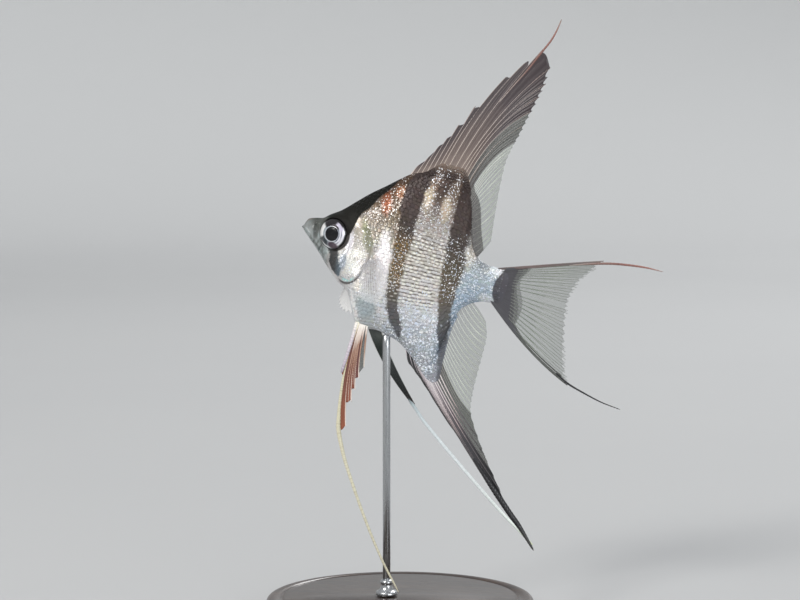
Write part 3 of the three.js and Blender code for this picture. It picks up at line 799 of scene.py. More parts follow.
def skin_material():
    tree = Tree("skin")
    marks = markings(tree)
    grain, dark, snout = marks.grain, marks.dark, marks.snout
    fine = tree.noise(marks.at, 6.0, 4.0, 0.65)
    speck = tree.cells(marks.at, 3.1)[0].fall(0.05, 0.28)
    sheen = tree.ramp(tree.noise(marks.at, 0.5, 2.0), "0.25 b9c9c4, 0.45 e6e4e2, 0.6 e3cfc9, 0.8 c9d3e0")
    # The gill cover's lower edge is a pale blue-green rim over a dark gap, a painted shadow in the gill
    # opening.
    along, high = in_gill_cover(marks.x, marks.z)
    off = hypot(along, high)
    rim = abs(off - 0.89).fall(0.04, 0.13) * high.rise(-0.55, -0.8) * along.rise(-0.35, 0.05)
    gap = off.rise(0.985, 1.02) * off.fall(1.04, 1.13) * along.rise(-0.45, -0.1) * high.rise(-0.35, -0.8)
    body = tree.paint(tree.mix(0.35, marks.colour, sheen, "MULTIPLY"), [
        (speck * grain.rise(0.45, 0.6) * 0.3, "3a3733"),
        (rim * 0.7, tree.mix(grain.rise(0.35, 0.6), "7fd6dc", "d2efe6")),
        # Painted shadow in the gill opening below the cover's edge.
        (gap * 0.85, "2b2422"),
    ])
    return tree.finished(
        Base_Color=add_painted_glints(tree, body, marks, grain),
        Metallic=(dark * -0.38 + 0.42) * (snout * -0.7 + 1.0),
        Roughness=fine * 0.25 + 0.24 + most(dark, snout) * 0.22,
        Normal=tree.bump(fine, 0.05, 0.5),
        Specular_IOR_Level=0.18,
        Coat_Weight=dark * -0.2 + 0.2,
        Coat_Roughness=0.16,
    )


skin_look = skin_material()
finish_piece(
    add_skin(), skin_look, "skin",
    "head", "lower_jaw", "gill_cover_left", "gill_cover_right", "trunk", "tail_peduncle",
)

# ---- scales ----

SCALE_CELLS = (5, 6)  # the top of each scale, along and across
SCALE_ROOT_SHARE = 0.32  # how much of a scale's length lies before its root
SCALE_EDGE, SCALE_UNDERSIDE = 0.05, 0.12
SCALE_TILT = 0.035
PATCH_SIZE = 0.003  # each scale's patch on the unwrap

FLANK_LENGTH, FLANK_WIDTH, FLANK_LIFT = 2.05, 1.62, 0.11
FLANK_STEP, FLANK_ROW_STEP = 1.42, 1.24
FLANK_REACH, FLANK_HEIGHTS = (12.0, 65.6), (-37.0, 32)
CHEEK_SCALE = (1.12, 0.96, -0.15, 0.05)  # length, width, slope of its row and lift
CHEEK_STEP, CHEEK_ROW_STEP = 0.84, 0.72
CHEEK_SPAN, CHEEK_HEIGHTS = (12.6, 24), (-13.5, 5.5)


def scale_template():
    """One scale: its top grid, and the faces of its top, sides and underside."""
    along, across = SCALE_CELLS
    u, v = np.meshgrid(np.linspace(0, 1, along + 1), np.linspace(-1, 1, across + 1), indexing="ij")
    rim = rim_of(np.arange(u.size).reshape(u.shape))
    below = u.size + np.arange(len(rim))
    next_rim, next_below = np.roll(rim, -1), np.roll(below, -1)
    sides = np.stack([rim, below, next_below, next_rim], -1)
    under = np.stack([np.full(len(rim), below[-1] + 1), next_below, below], -1)
    return u.ravel(), v.ravel(), rim, [grid_faces(along + 1, across + 1), sides, under]


def lay_scales(name, shape, facing, spots, p, q, row_step, length, width, lift, limits, relief=None):
    """Overlapping scales on a surface shape(p, q), whose outward side is facing (1 or -1) times
    the cross product of its two directions. row_step is the step in p and q towards the tail,
    and spots gives each root's place on the surface's unwrap."""
    u, v, rim, faces = scale_template()
    count = len(p)
    small = 0.002 * np.array([limits[0][1] - limits[0][0], limits[1][1] - limits[1][0]])
    along = (shape(p + small[0], q) - shape(p - small[0], q)) / (2 * small[0])
    around = (shape(p, q + small[1]) - shape(p, q - small[1])) / (2 * small[1])
    normal = facing * unit(np.cross(along, around))
    row = unit(along * row_step[0][:, None] + around * row_step[1][:, None])
    beside = np.cross(normal, row)
    share = u * (1 - 0.34 * v**2)
    a = length[:, None] * (share - SCALE_ROOT_SHARE)
    b = width[:, None] / 2 * v * (0.78 + 0.22 * np.sin(np.pi * np.minimum(u * 1.15, 1)))
    tilt = dice.normal(0, SCALE_TILT, (2, count, 1))
    high = lift[:, None] * (-0.35 + 1.35 * share + 0.25 * (1 - v**2)) + tilt[0] * a + tilt[1] * b
    middle = np.zeros((count, 1))
    a_all = np.concatenate([a, a[:, rim], middle], 1)
    b_all = np.concatenate([b, b[:, rim], middle], 1)
    h_all = np.concatenate([high, high[:, rim] - SCALE_EDGE, middle - SCALE_UNDERSIDE], 1)
    # How far each corner lies from the root in p and q, from the surface's own directions.
    move = a_all[..., None] * row[:, None] + b_all[..., None] * beside[:, None]
    xx, xt, tt = (along**2).sum(-1), (along * around).sum(-1), (around**2).sum(-1)
    mx, mt = (move * along[:, None]).sum(-1), (move * around[:, None]).sum(-1)
    det = (xx * tt - xt**2)[:, None]
    new_p = p[:, None] + (mx * tt[:, None] - mt * xt[:, None]) / det
    new_q = q[:, None] + (mt * xx[:, None] - mx * xt[:, None]) / det
    points = shape(np.clip(new_p, *limits[0]), np.clip(new_q, *limits[1]))
    if relief is not None:
        h_all = h_all + relief(points)
    points = points + normal[:, None] * h_all[..., None]
    per_scale = points.shape[1]
    all_faces = [f[:, ::-1] if facing > 0 else f for f in repeated(faces, count, per_scale)]
    u_all = np.concatenate([u, u[rim], [0.5]])
    v_all = np.concatenate([v, v[rim], [0.0]])
    tone = np.repeat(dice.random(count), per_scale)
    on_scale = np.stack([np.tile(u_all, count), np.tile(v_all, count), tone], -1)
    # Each scale is a small patch at its root's place on the unwrap.
    patch = np.stack([u_all, v_all / 2 + 0.5], -1) * PATCH_SIZE
    placed = (spots[:, None] * 0.99 + PATCH_SIZE + patch[None]).reshape(-1, 2)
    points = points.reshape(-1, 3)
    obj = make_mesh(name, points, all_faces, fish_at=points, on_scale=on_scale)
    add_unwrap(obj, np.concatenate([placed[f.ravel()] for f in all_faces]))
    finish_piece(obj, scale_look, "skin")


def row_height(x, start):
    """A scale row's height: rows draw together towards the tail."""
    share = np.maximum((x - 20) / 45, 0) ** 1.3
    return start + (-2 - start) * 0.35 * share


def flank_places():
    """Where the scales of one flank sit, in staggered rows, with their sizes."""
    places = []
    start, shift = FLANK_HEIGHTS[0], 0.0
    while start < FLANK_HEIGHTS[1]:
        x = FLANK_REACH[0] + shift
        while x < FLANK_REACH[1]:
            z = float(row_height(x, start))
            small = 1 - 0.3 * float(smooth(x, 54, 64)) - 0.3 * (1 - float(smooth(x, 18, 27)))
            inside = bellyline(x) + 0.35 < z < backline(x) - 0.35
            behind_head = x > 21.6 - (z - 3.4) * 1.02 if z > 3.4 else x > 17.5
            clear = behind_head and outside_gill_cover(x, z) > 0.75
            if inside and clear and 0.16 < turn_at(x, z) < np.pi - 0.16:
                slope = float(row_height(x + 0.5, start) - row_height(x - 0.5, start))
                near_edge = min(backline(x) - z, z - bellyline(x))
                shrink = 0.72 + 0.28 * float(smooth(near_edge, 0.5, 4.0))
                width = FLANK_WIDTH * (0.62 + 0.38 * small) * shrink
                places.append((x, z, FLANK_LENGTH * small * shrink, width, slope, FLANK_LIFT * small))
            x += FLANK_STEP * small
        start += FLANK_ROW_STEP * (1 - 0.24 * float(smooth(abs(start + 2), 17, 27)))
        shift = FLANK_STEP / 2 - shift
    return np.array(places).T


def cheek_places():
    """Small flat scales on the gill cover and cheek."""
    places = []
    for row, z in enumerate(np.arange(*CHEEK_HEIGHTS, CHEEK_ROW_STEP)):
        for x in np.arange(CHEEK_SPAN[0] + CHEEK_STEP / 2 * (row % 2), CHEEK_SPAN[1], CHEEK_STEP):
            eye_gap = math.hypot((x - EYE_CENTRE[0]) / 0.9, z - EYE_CENTRE[2])
            on_cover = outside_gill_cover(x, z) < -0.75 and x > 15.4
            on_cheek = eye_gap > 6.6 and z < -4.2 and x < 16.6 and z > bellyline(x) + 2.2
            if (on_cover or on_cheek) and eye_gap > 6.2:
                places.append((x, z, *CHEEK_SCALE))
    return np.array(places).T


def scale_material():
    tree = Tree("scales")
    marks = markings(tree)
    u, v, tone = tree.split(tree.attribute("on_scale"))
    dark, plain, dash_light_and_shade = marks.dark, marks.plain, marks.dash_light_and_shade
    fine = tree.noise(marks.at, 5.0, 3.0, 0.6)
    rib = (v * 26.0).math("SINE")
    side_gap = abs(v + tone * 0.56 - 0.28)
    # Painted shade: each scale is darker at its sides and its root, where the scales meet and overlap, and
    # less so on the plain parts.
    shaded = tree.mix(0.75, marks.colour, "5a5248", "MULTIPLY")
    edge_shade_share = plain * -0.48 + 0.52
    body = tree.paint(marks.colour, [
        (side_gap.rise(0.4, 0.95) * edge_shade_share, shaded),
        (u.rise(0.3, 0.0) * edge_shade_share, shaded),
    ])
    hue = tree.ramp(tone, "0 e9e3d2, 0.3 dfe3ee, 0.5 f1dcd4, 0.7 e6eed9, 0.9 ffffff")
    body = tree.mix(plain * -0.35 + 0.5, body, hue, "MULTIPLY")
    # Rows of painted highlight dashes on the scales, broken into beads of uneven brightness, with painted
    # shade in the dark gaps between them.
    uneven = tree.noise(marks.at, 0.85, 3.0, 0.7)
    gap = side_gap.rise(0.36, 0.66) * uneven.rise(0.36, 0.6, 0.2, 0.92)
    bead_highlight = side_gap.fall(0.16, 0.46) * u.rise(0.74, 0.92, 1.0, 0.1) * u.rise(0.38, 0.5, 0.3, 1.0)
    strength = (tone * 0.8 + uneven * 0.6).rise(0.38, 0.9)
    body = tree.paint(body, [
        (dash_light_and_shade * gap, "6b645a"),
        (dash_light_and_shade * bead_highlight * strength, tree.mix(tone, "fffdf8", "f6f2e8")),
    ])
    return tree.finished(
        Base_Color=add_painted_glints(tree, body, marks, tone),
        Metallic=dark * -0.3 + 0.45,
        Roughness=fine * 0.22 + 0.2,
        Normal=tree.bump(rib * 0.5 + fine, 0.03, 0.6),
        Specular_IOR_Level=0.2,
        Coat_Weight=dark * -0.3 + 0.32,
        Coat_Roughness=0.1,
    )


def flank_relief(points):
    x, _, z = np.moveaxis(points, -1, 0)
    return head_relief(x, z) * (1 - smooth(x, *HEAD_FADE)) - SKIN_DEPTH


def add_scales():
    flank, cheek = flank_places(), cheek_places()
    parts = {"front": flank[:, flank[0] < 38], "rear": flank[:, flank[0] >= 38], "cheek": cheek}
    limits = ((0.1, BODY_LENGTH), (0.03, np.pi - 0.03))
    for word, side in SIDES:
        shape = lambda x, turn: section(x, turn) * [1, side, 1]
        for part, (x, z, length, width, slope, lift) in parts.items():
            turn = turn_at(x, z)
            row_step = (np.full(len(x), 0.05), turn_at(x + 0.05, z + slope * 0.05) - turn)
            spots = np.stack([x / 67, np.where(side > 0, turn, FULL_TURN - turn) / FULL_TURN], -1)
            lay_scales(
                f"scales_{part}_{word}", shape, side, spots, x, turn, row_step,
                length, width, lift, limits, flank_relief,
            )


scale_look = scale_material()
add_scales()

# ---- eyes ----

EYE_RINGS, EYE_COLUMNS = 72, 144
LENS_HEIGHT, PUPIL_RING = 0.16, 0.05


def add_eye(side):
    centre, outwards, tailwards = eye_frame(side)
    radius = np.linspace(0.02, EYE_RADIUS - 0.02, EYE_RINGS)
    r, a = np.meshgrid(radius, circle(EYE_COLUMNS), indexing="ij")
    across, up = r * np.cos(a), r * np.sin(a)
    from_pupil = np.hypot(across - PUPIL_SHIFT, up)
    lens = LENS_HEIGHT * (1 - smooth(from_pupil, PUPIL_RADIUS - 0.35, PUPIL_RADIUS + 0.25))
    ring = PUPIL_RING * bell(from_pupil - PUPIL_RADIUS - 0.25, 0.16)
    high = dome(r) + lens + ring - 0.02
    points = centre + tailwards * across[..., None] + np.array([0, 0, 1.0]) * up[..., None]
    points = points + outwards * high[..., None]
    back = centre + outwards * 0.15
    faces = ring_faces(EYE_RINGS, EYE_COLUMNS)
    if side > 0:
        faces = [f[:, ::-1] for f in faces]
    on_eye = np.stack([across, up, 0 * r], -1).reshape(-1, 3)
    return make_mesh(
        "eyeball_left" if side < 0 else "eyeball_right",
        np.concatenate([points.reshape(-1, 3), [points[0].mean(0)], [back]]), faces,
        on_eye=np.concatenate([on_eye, [[0, 0, 0], [EYE_RADIUS, 0, 0]]]),
    )


def eye_material():
    tree = Tree("eye")
    across, up, _ = tree.split(tree.attribute("on_eye"))
    radius = hypot(across, up)
    from_pupil = hypot(across - PUPIL_SHIFT, up)

    def toward(degrees, low, high):
        """1 in the direction given (0 tailward, 90 up), falling to 0 away from it."""
        turn = math.radians(degrees)
        reach = across * math.cos(turn) + up * math.sin(turn)
        return (reach / most(radius, 0.01)).rise(low, high)

    def ring(low, high, soft=0.15):
        return radius.between(low, high, soft)

    angle = up.math("ARCTAN2", across)
    cos, sin = angle.math("COSINE"), angle.math("SINE")
    fibres = tree.noise(tree.join(sin, cos, radius * 0.12), 9.0, 5.0, 0.7)
    arcs = tree.noise(tree.join(radius * 3.2, sin, cos), 1.3, 3.0, 0.6)
    spot_gap = hypot((across - 1.2) * 0.66, up + 3.45)
    edge = abs(from_pupil - (PUPIL_RADIUS + 0.17)).fall(0.03, 0.12)
    iris = tree.paint(tree.mix(fibres, "7d868e", "c6ccd2"), [
        (toward(186, 0.6, 0.85) * ring(2.8, 4.75) * 0.97, "fbfaf9"),
        (toward(-8, 0.25, 0.6) * ring(3.1, 4.4) * 0.92, "f3f1fa"),
        (toward(8, 0.5, 0.8) * ring(2.4, 3.1) * arcs.rise(0.3, 0.55) * 0.9, "2f3650"),
        (toward(0, 0.5, 0.8) * ring(3.45, 3.75, 0.08) * arcs.rise(0.35, 0.55) * 0.8, "4a4c66"),
        (toward(234, 0.84, 0.95) * ring(2.5, 4.6) * 0.93, "18252a"),
        (toward(-75, 0.3, 0.75) * ring(4.05, 4.6, 0.12) * 0.9, "f2f1f4"),
        (toward(92, 0.5, 0.72) * ring(2.3, 6.0) * 0.97, "1c1518"),
        (toward(48, 0.86, 0.97) * ring(3.2, 4.05, 0.12) * 0.85, "e2dcee"),
        (toward(35, -0.25, 0.25) * ring(4.3, 6.0) * 0.97, "120f10"),
        (radius.rise(4.66, 4.76) * 0.95, "15181a"),
        (spot_gap.rise(0.75, 1.45, 0.93, 0.0), tree.mix(fibres, "241620", "55384a")),
        (edge * up.rise(2.0, -2.0, 0.25, 0.85), "e3e4ea"),
        (from_pupil.fall(PUPIL_RADIUS - 0.04, PUPIL_RADIUS + 0.1), "04050a"),
    ])
    return tree.finished(
        Base_Color=iris,
        Metallic=from_pupil.rise(PUPIL_RADIUS, PUPIL_RADIUS + 0.2, 0.0, 0.4),
        Roughness=fibres * 0.2 + 0.12,
        Normal=tree.bump(fibres, 0.08, 0.4),
        Specular_IOR_Level=0.2,
        Coat_Weight=0.4,
        Coat_Roughness=0.02,
    )


eye_look = eye_material()
for side, node in ((-1, "eye_left"), (1, "eye_right")):
    finish_piece(add_eye(side), eye_look, "eye", node)

# ---- fins ----

FIN_ROOT_DEPTH = 0.9  # how far a fin's root lies inside the back or belly
MEMBRANE_START = -0.02  # where a membrane begins, as a share of the way from root to tip
MEMBRANE_SAG = 0.04
MEMBRANE_COLUMNS = 8  # to each ray
RAY_SIDES, RAY_STEPS, RAY_START = 8, 64, -0.03
RAY_THINNING, RAY_JOINTS = 0.62, 190
STRAND_SIDES, STRAND_STEPS = 12, 160
STRAND_JOINTS, STRAND_TIP = 5.5, 6  # joints by length, and the steps of the rounded tip


def in_depth(points):
    """Side-view points (x, z) as points in the fish's middle plane. Others stay as they are."""
    points = np.asarray(points, float)
    if points.shape[-1] == 2:
        points = np.stack([points[..., 0], 0 * points[..., 0], points[..., 1]], -1)
    return points


class Fan:
    """A fin's middle surface. u runs across its rays, from the front one to the last, and v
    from root to tip. Each key ray is [root, middle, tip]."""

    def __init__(self, keys):
        self.keys = in_depth(keys)
        self.last = len(keys) - 1

    def at(self, u, v):
        root, middle, tip = (spline(self.keys[:, k], u) for k in range(3))
        v = np.asarray(v, float)[..., None]
        return root * (1 - v) * (1 - 2 * v) + middle * 4 * v * (1 - v) + tip * v * (2 * v - 1)

    def normal(self, u, v):
        step = 0.004
        along = self.at(u, v + step) - self.at(u, v - step)
        across = self.at(np.minimum(u + step, 1), v) - self.at(np.maximum(u - step, 0), v)
        return unit(np.cross(along, across))


def plate(front, back):
    """A closed sheet between two grids of points, and its faces."""
    rows, columns = front.shape[:2]
    offset = rows * columns
    grid = grid_faces(rows, columns)
    rim = rim_of(np.arange(offset).reshape(rows, columns))
    after = np.roll(rim, -1)
    sides = np.stack([rim, rim + offset, after + offset, after], -1)
    points = np.concatenate([front.reshape(-1, 3), back.reshape(-1, 3)])
    return points, [grid, grid[:, ::-1] + offset, sides]


def add_membrane(
    name, fan, span, ends, rays, finish,
    start=MEMBRANE_START, thickness=(0.32, 0.1), rows=60, own=False,
):
    """The thin skin between the rays. ends(u) is how far out it reaches at each u. It thins from
    the fin's root to its tip or, if own, over its own reach."""
    columns = int(max(24, rays * MEMBRANE_COLUMNS * (span[1] - span[0])))
    u, share = np.meshgrid(np.linspace(*span, columns), np.linspace(0, 1, rows), indexing="ij")
    begins = start(u) if callable(start) else start
    v = begins + share * (ends(u) - begins)
    middle, normal = fan.at(u, v), fan.normal(u, v)
    half = (thickness[0] + (thickness[1] - thickness[0]) * (share if own else np.clip(v, 0, 1))) / 2
    sag = MEMBRANE_SAG * np.sin(np.pi * rays * u * 2) * smooth(v, 0, 0.2)
    front, back = (half + sag)[..., None], (half - sag)[..., None]
    points, faces = plate(middle + normal * front, middle - normal * back)
    on_fin = np.stack([u, v, 0 * u], -1).reshape(-1, 3)
    lengths = np.linalg.norm(fan.at(u, 1.0 + 0 * u) - fan.at(u, 0 * u), axis=-1)
    from_edge = ((1 - share) * (ends(u) - begins) * lengths).ravel()
    obj = make_mesh(name, points, faces, on_fin=np.tile(on_fin, (2, 1)), from_edge=np.tile(from_edge, 2))
    finish_piece(obj, *finish)


def tubes(paths, radii, sides):
    """Closed round tubes along paths (count, steps, 3) with radii (count, steps)."""
    count, steps = radii.shape
    tangent = unit(np.gradient(paths, axis=1))
    across = unit(np.cross(tangent, [0.0, 1.0, 0.0]))
    other = np.cross(across, tangent)
    turn = circle(sides)
    ring = across[..., None, :] * np.cos(turn)[:, None] + other[..., None, :] * np.sin(turn)[:, None]
    points = paths[..., None, :] + ring * radii[..., None, None]
    ends = np.stack([paths[:, 0], paths[:, -1]], 1)
    flat = np.concatenate([points.reshape(count, -1, 3), ends], 1).reshape(-1, 3)
    return flat, repeated(ring_faces(steps, sides, True), count, steps * sides + 2)


def add_rays(name, fan, places, ends, radius, spread, finish, split=0.5):
    """Fin rays: each is a pair of tapering rods that part towards the fin's edge."""
    paths, radii, marks = [], [], []
    for u, end in zip(places, ends):
        v = np.linspace(RAY_START, end, RAY_STEPS)
        joints = 1 + 0.1 * np.sin(v * RAY_JOINTS) * smooth(v, 0.25, 0.5)
        for way in (-1, 1):
            across = np.clip(u + way * spread * (0.12 + 0.88 * smooth(v, split, 1.0)), 0, 1)
            paths.append(fan.at(across, v))
            radii.append(radius * (1 - RAY_THINNING * np.clip(v / end, 0, 1)) * joints)
            marks.append(np.stack([across, v, 1 + 0 * v], -1))
    points, faces = tubes(np.array(paths), np.array(radii), RAY_SIDES)
    marks = np.array(marks)
    on_fin = np.concatenate([np.repeat(marks, RAY_SIDES, axis=1), marks[:, :1], marks[:, -1:]], 1)
    finish_piece(make_mesh(name, points, faces, on_fin=on_fin.reshape(-1, 3)), *finish)


def add_strand(name, points, radii, finish):
    """A long round streamer; radii are (share of its length, radius) pairs."""
    share = np.linspace(0, 1, STRAND_STEPS)
    path = spline(points, share)
    length = np.concatenate([[0], np.cumsum(np.linalg.norm(np.diff(path, axis=0), axis=1))])
    taper = profile(radii)(share) * (1 + 0.05 * np.sin(length * STRAND_JOINTS))
    taper[-STRAND_TIP:] *= np.linspace(1, 0.35, STRAND_TIP)
    flat, faces = tubes(path[None], taper[None], STRAND_SIDES)
    along = np.concatenate([np.repeat(share, STRAND_SIDES), [0, 1]])
    on_fin = np.stack([along, length.max() * along, 0 * along], -1)
    finish_piece(make_mesh(name, flat, faces, on_fin=on_fin), *finish)


def rooted_fan(line, way, rays):
    """A fin on the back (way 1) or the belly (way -1); each ray is its root's x, middle and tip."""
    return Fan([[(x, float(line(x)) - way * FIN_ROOT_DEPTH), middle, tip] for x, middle, tip in rays])


dorsal = rooted_fan(backline, 1, [
    (29.2, (30.3, 26.6), (31.2, 28.0)), (30.9, (32.5, 29.0), (33.8, 31.5)),
    (32.5, (34.3, 31.4), (35.9, 35.2)), (33.9, (36.0, 33.2), (37.8, 38.2)),
    (35.2, (37.9, 35.6), (40.2, 42.9)), (36.4, (40.3, 39.0), (43.7, 49.5)),
    (37.7, (43.1, 44.4), (50.8, 60.6)), (39.5, (46.3, 48.4), (55.6, 66.4)),
    (41.4, (49.6, 50.8), (62.0, 75.2)), (43.0, (51.7, 48.4), (63.5, 66.9)),
    (44.2, (51.9, 46.2), (63.4, 61.8)), (45.2, (51.8, 44.0), (62.6, 57.6)),
    (46.1, (51.9, 41.4), (61.5, 52.9)), (47.0, (52.1, 38.8), (60.5, 48.9)),
    (47.9, (52.3, 36.0), (59.5, 44.6)), (48.9, (52.7, 32.8), (58.3, 40.6)),
    (49.8, (53.3, 28.6), (57.4, 35.4)), (50.9, (54.3, 21.9), (57.5, 27.3)),
    (52.4, (55.5, 13.9), (58.1, 18.6)), (55.6, (57.4, 8.0), (58.8, 10.9)),
])
anal = rooted_fan(bellyline, -1, [
    (40.8, (42.2, -31.3), (43.2, -32.8)), (42.2, (44.6, -33.4), (46.6, -35.4)),
    (43.4, (47.0, -35.3), (50.3, -38.7)), (44.5, (49.8, -37.8), (55.0, -43.2)),
    (45.6, (53.0, -40.9), (60.5, -48.2)), (46.6, (57.4, -44.9), (69.9, -55.9)),
    (47.4, (61.0, -47.9), (78.0, -64.2)), (48.2, (62.4, -48.4), (85.0, -69.4)),
    (49.0, (62.3, -46.6), (80.6, -63.4)), (49.8, (61.2, -43.8), (74.6, -55.9)),
    (50.5, (59.9, -40.6), (69.6, -48.9)), (51.1, (58.9, -36.8), (65.9, -42.6)),
    (51.6, (58.6, -31.6), (65.0, -37.2)), (52.2, (58.8, -27.0), (64.9, -30.8)),
    (53.2, (59.2, -21.8), (65.0, -24.6)), (54.8, (60.1, -16.0), (64.9, -18.4)),
    (57.6, (60.9, -11.2), (63.4, -13.8)),
])
tail = Fan([
    [(63.2, 3.2), (78.8, 8.7), (94.0, 13.9)], [(63.2, 1.9), (78.6, 6.4), (91.6, 10.3)],
    [(63.2, 0.4), (77.2, 3.5), (88.4, 5.6)], [(63.2, -1.3), (76.3, -0.6), (86.9, 0.0)],
    [(63.2, -3.0), (76.4, -4.2), (87.2, -5.2)], [(63.2, -4.6), (77.0, -8.7), (88.6, -12.6)],
    [(63.2, -5.9), (77.8, -13.7), (90.4, -19.8)], [(63.2, -7.0), (78.2, -18.5), (92.7, -26.1)],
])
pectoral_left = Fan([
    [(22.6, -5.6, -4.6), (23.6, -9.0, -10.0), (24.8, -12.5, -15.0)],
    [(23.8, -5.6, -3.8), (25.9, -9.7, -10.2), (28.2, -13.6, -16.0)],
    [(25.0, -5.6, -3.0), (28.4, -9.9, -9.6), (31.8, -14.0, -15.2)],
    [(26.0, -5.6, -2.0), (30.0, -8.8, -5.6), (33.2, -12.0, -10.5)],
])
pectoral_right = Fan([
    [(22.6, 5.6, -4.6), (18.6, 8.2, -9.5), (15.6, 9.2, -15.2)],
    [(23.8, 5.6, -3.8), (18.6, 9.0, -12.6), (14.3, 10.6, -20.8)],
    [(25.0, 5.6, -3.0), (20.2, 9.2, -14.0), (16.5, 11.0, -24.2)],
    [(26.0, 5.6, -2.0), (24.2, 9.0, -13.2), (22.4, 10.2, -23.4)],
])
pelvic_left = Fan([
    [(24.2, -1.5, -24.6), (24.1, -3.0, -32.8), (23.8, -4.4, -40.6)],
    [(24.7, -1.5, -25.0), (24.6, -3.9, -40.8), (27.0, -5.0, -57.0)],
    [(25.3, -1.4, -25.0), (26.0, -3.9, -40.9), (29.1, -4.9, -55.9)],
    [(25.9, -1.4, -25.0), (26.7, -3.5, -37.0), (28.9, -4.6, -48.0)],
    [(26.4, -1.4, -25.0), (27.2, -3.2, -35.0), (29.1, -4.3, -44.2)],
    [(26.9, -1.4, -25.0), (27.7, -2.9, -32.9), (29.4, -4.0, -40.5)],
    [(27.6, -1.3, -25.0), (28.7, -2.4, -31.0), (30.1, -3.4, -37.0)],
])
pelvic_right = Fan([
    [(27.2, 1.3, -24.8), (35.2, 3.9, -36.0), (46.6, 5.3, -46.1)],
    [(29.2, 1.4, -24.8), (36.4, 3.9, -35.4), (46.8, 5.4, -45.8)],
    [(31.4, 1.4, -24.8), (37.6, 3.8, -34.6), (47.0, 5.4, -45.5)],
])

FOOT_COLUMNS, FOOT_ROWS = 160, 24
FOOT_SCALE = (1.25, 1.0, 0.07)  # length, width and lift at the foot's root
FOOT_STEP = 0.86
FOOT_ROW_SHARES = np.arange(0.12, 0.97, 0.17)
FOOT_HALF_EDGE = 0.17  # half its thickness at its upper edge


def add_sheath(word, fan, span, height):
    """The scaled foot of a fin: a wedge that carries the body's skin up onto the rays."""
    first, last = span

    def reach(u):
        step = np.linalg.norm(fan.at(u, 0.12 + 0 * u) - fan.at(u, 0 * u), axis=-1)
        return height(u) / step * 0.12

    def thick(u, share):
        """Half the wedge's thickness: as broad as the body at its root, a hollow curve above."""
        x, _, z = np.moveaxis(fan.at(u, 0 * u), -1, 0)
        broad = np.abs(section(x, turn_at(x, z))[..., 1])
        return FOOT_HALF_EDGE + np.maximum(broad - 0.2, 0.35) * (1 - np.clip(share, 0, 1)) ** 1.8

    u, share = np.meshgrid(
        np.linspace(first, last, FOOT_COLUMNS), np.linspace(0, 1, FOOT_ROWS), indexing="ij"
    )
    v = share * reach(u)
    middle, away = fan.at(u, v), fan.normal(u, v) * thick(u, share)[..., None]
    points, faces = plate(middle + away, middle - away)
    finish_piece(make_mesh(f"{word}_foot", points, faces, fish_at=points), skin_look, "skin")

    root = fan.at(np.linspace(first, last, 200), np.full(200, 0.03))
    count = int(np.linalg.norm(np.diff(root, axis=0), axis=1).sum() / FOOT_STEP)
    p = np.concatenate([
        first + (last - first) * (np.arange(count) + 0.25 + 0.5 * (row % 2)) / count
        for row in range(len(FOOT_ROW_SHARES))
    ])
    q = np.repeat(FOOT_ROW_SHARES, count)
    fade = 1 - 0.35 * q
    for side_word, side in SIDES:
        way = np.sign(fan.normal(np.array([0.5]), np.array([0.05]))[0, 1]) * side

        def shape(u, share):
            v = share * reach(u)
            return fan.at(u, v) + fan.normal(u, v) * (way * thick(u, share) - way * 0.04)[..., None]

        spots = np.stack([(p - first) / (last - first), q], -1)
        lay_scales(
            f"scales_{word}_foot_{side_word}", shape, way, spots, p, q,
            (0 * q + 0.004, 0 * q + 0.1), *(size * fade for size in FOOT_SCALE), (span, (0.0, 1.0)),
        )


def fin_material(name, along, stripes, alpha=1.0, warm=None, hem=None, streaky=0.35):
    """along: colours from root to tip. stripes: colours of the rays from root to tip."""
    tree = Tree(name)
    u, v, is_ray = tree.split(tree.attribute("on_fin"))
    streak = tree.noise(tree.join(u * 60.0, v * 5.0), 1.0, 4.0, 0.6)
    cloud = tree.noise(tree.join(u * 9.0, v * 9.0, 3.0), 1.0, 3.0)
    outwards = v + cloud * 0.2 - 0.1
    membrane = tree.ramp(outwards, along)
    if warm:
        code, low, high = warm
        membrane = tree.mix(u.rise(low, high) * 0.8, membrane, code)
    membrane = tree.mix(streak.rise(0.3, 0.7, 0.0, streaky), membrane, "1e1a1a")
    if hem:
        code, width = hem
        near_edge = tree.attribute("from_edge", "Fac").fall(width * 0.75, width * 1.1)
        membrane = tree.mix(near_edge, membrane, code)
    ray = tree.mix(streak.rise(0.2, 0.8, 0.0, 0.08), tree.ramp(outwards, stripes), "ffffff")
    return tree.finished(
        Base_Color=tree.mix(is_ray, membrane, ray),
        Roughness=streak * 0.25 + 0.3,
        Normal=tree.bump(streak, 0.06, 0.5),
        Coat_Weight=0.2,
        Coat_Roughness=0.25,
        Alpha=alpha,
    )


def streamer_material(name, stops, ground):
    tree = Tree(name)
    share, length, _ = tree.split(tree.attribute("on_fin"))
    rings = (length * 8.0).math("SINE")
    mottle = tree.noise(tree.join(length * 0.6), 1.0, 3.0)
    base = tree.paint(tree.ramp(share, stops), [
        (rings.rise(0.4, 1.0, 0.0, 0.3), ground),
        (mottle.rise(0.5, 0.7, 0.0, 0.35), ground),
    ])
    return tree.finished(
        Base_Color=base,
        Roughness=0.38,
        Normal=tree.bump(rings, 0.03, 0.4),
        Coat_Weight=0.3,
        Coat_Roughness=0.2,
    )


def ragged(count, depth):
    """How far a membrane reaches between rays: full at each ray and cut back between them."""
    return lambda u: 1 - depth * np.abs(np.sin(np.pi * count * u)) ** 0.7


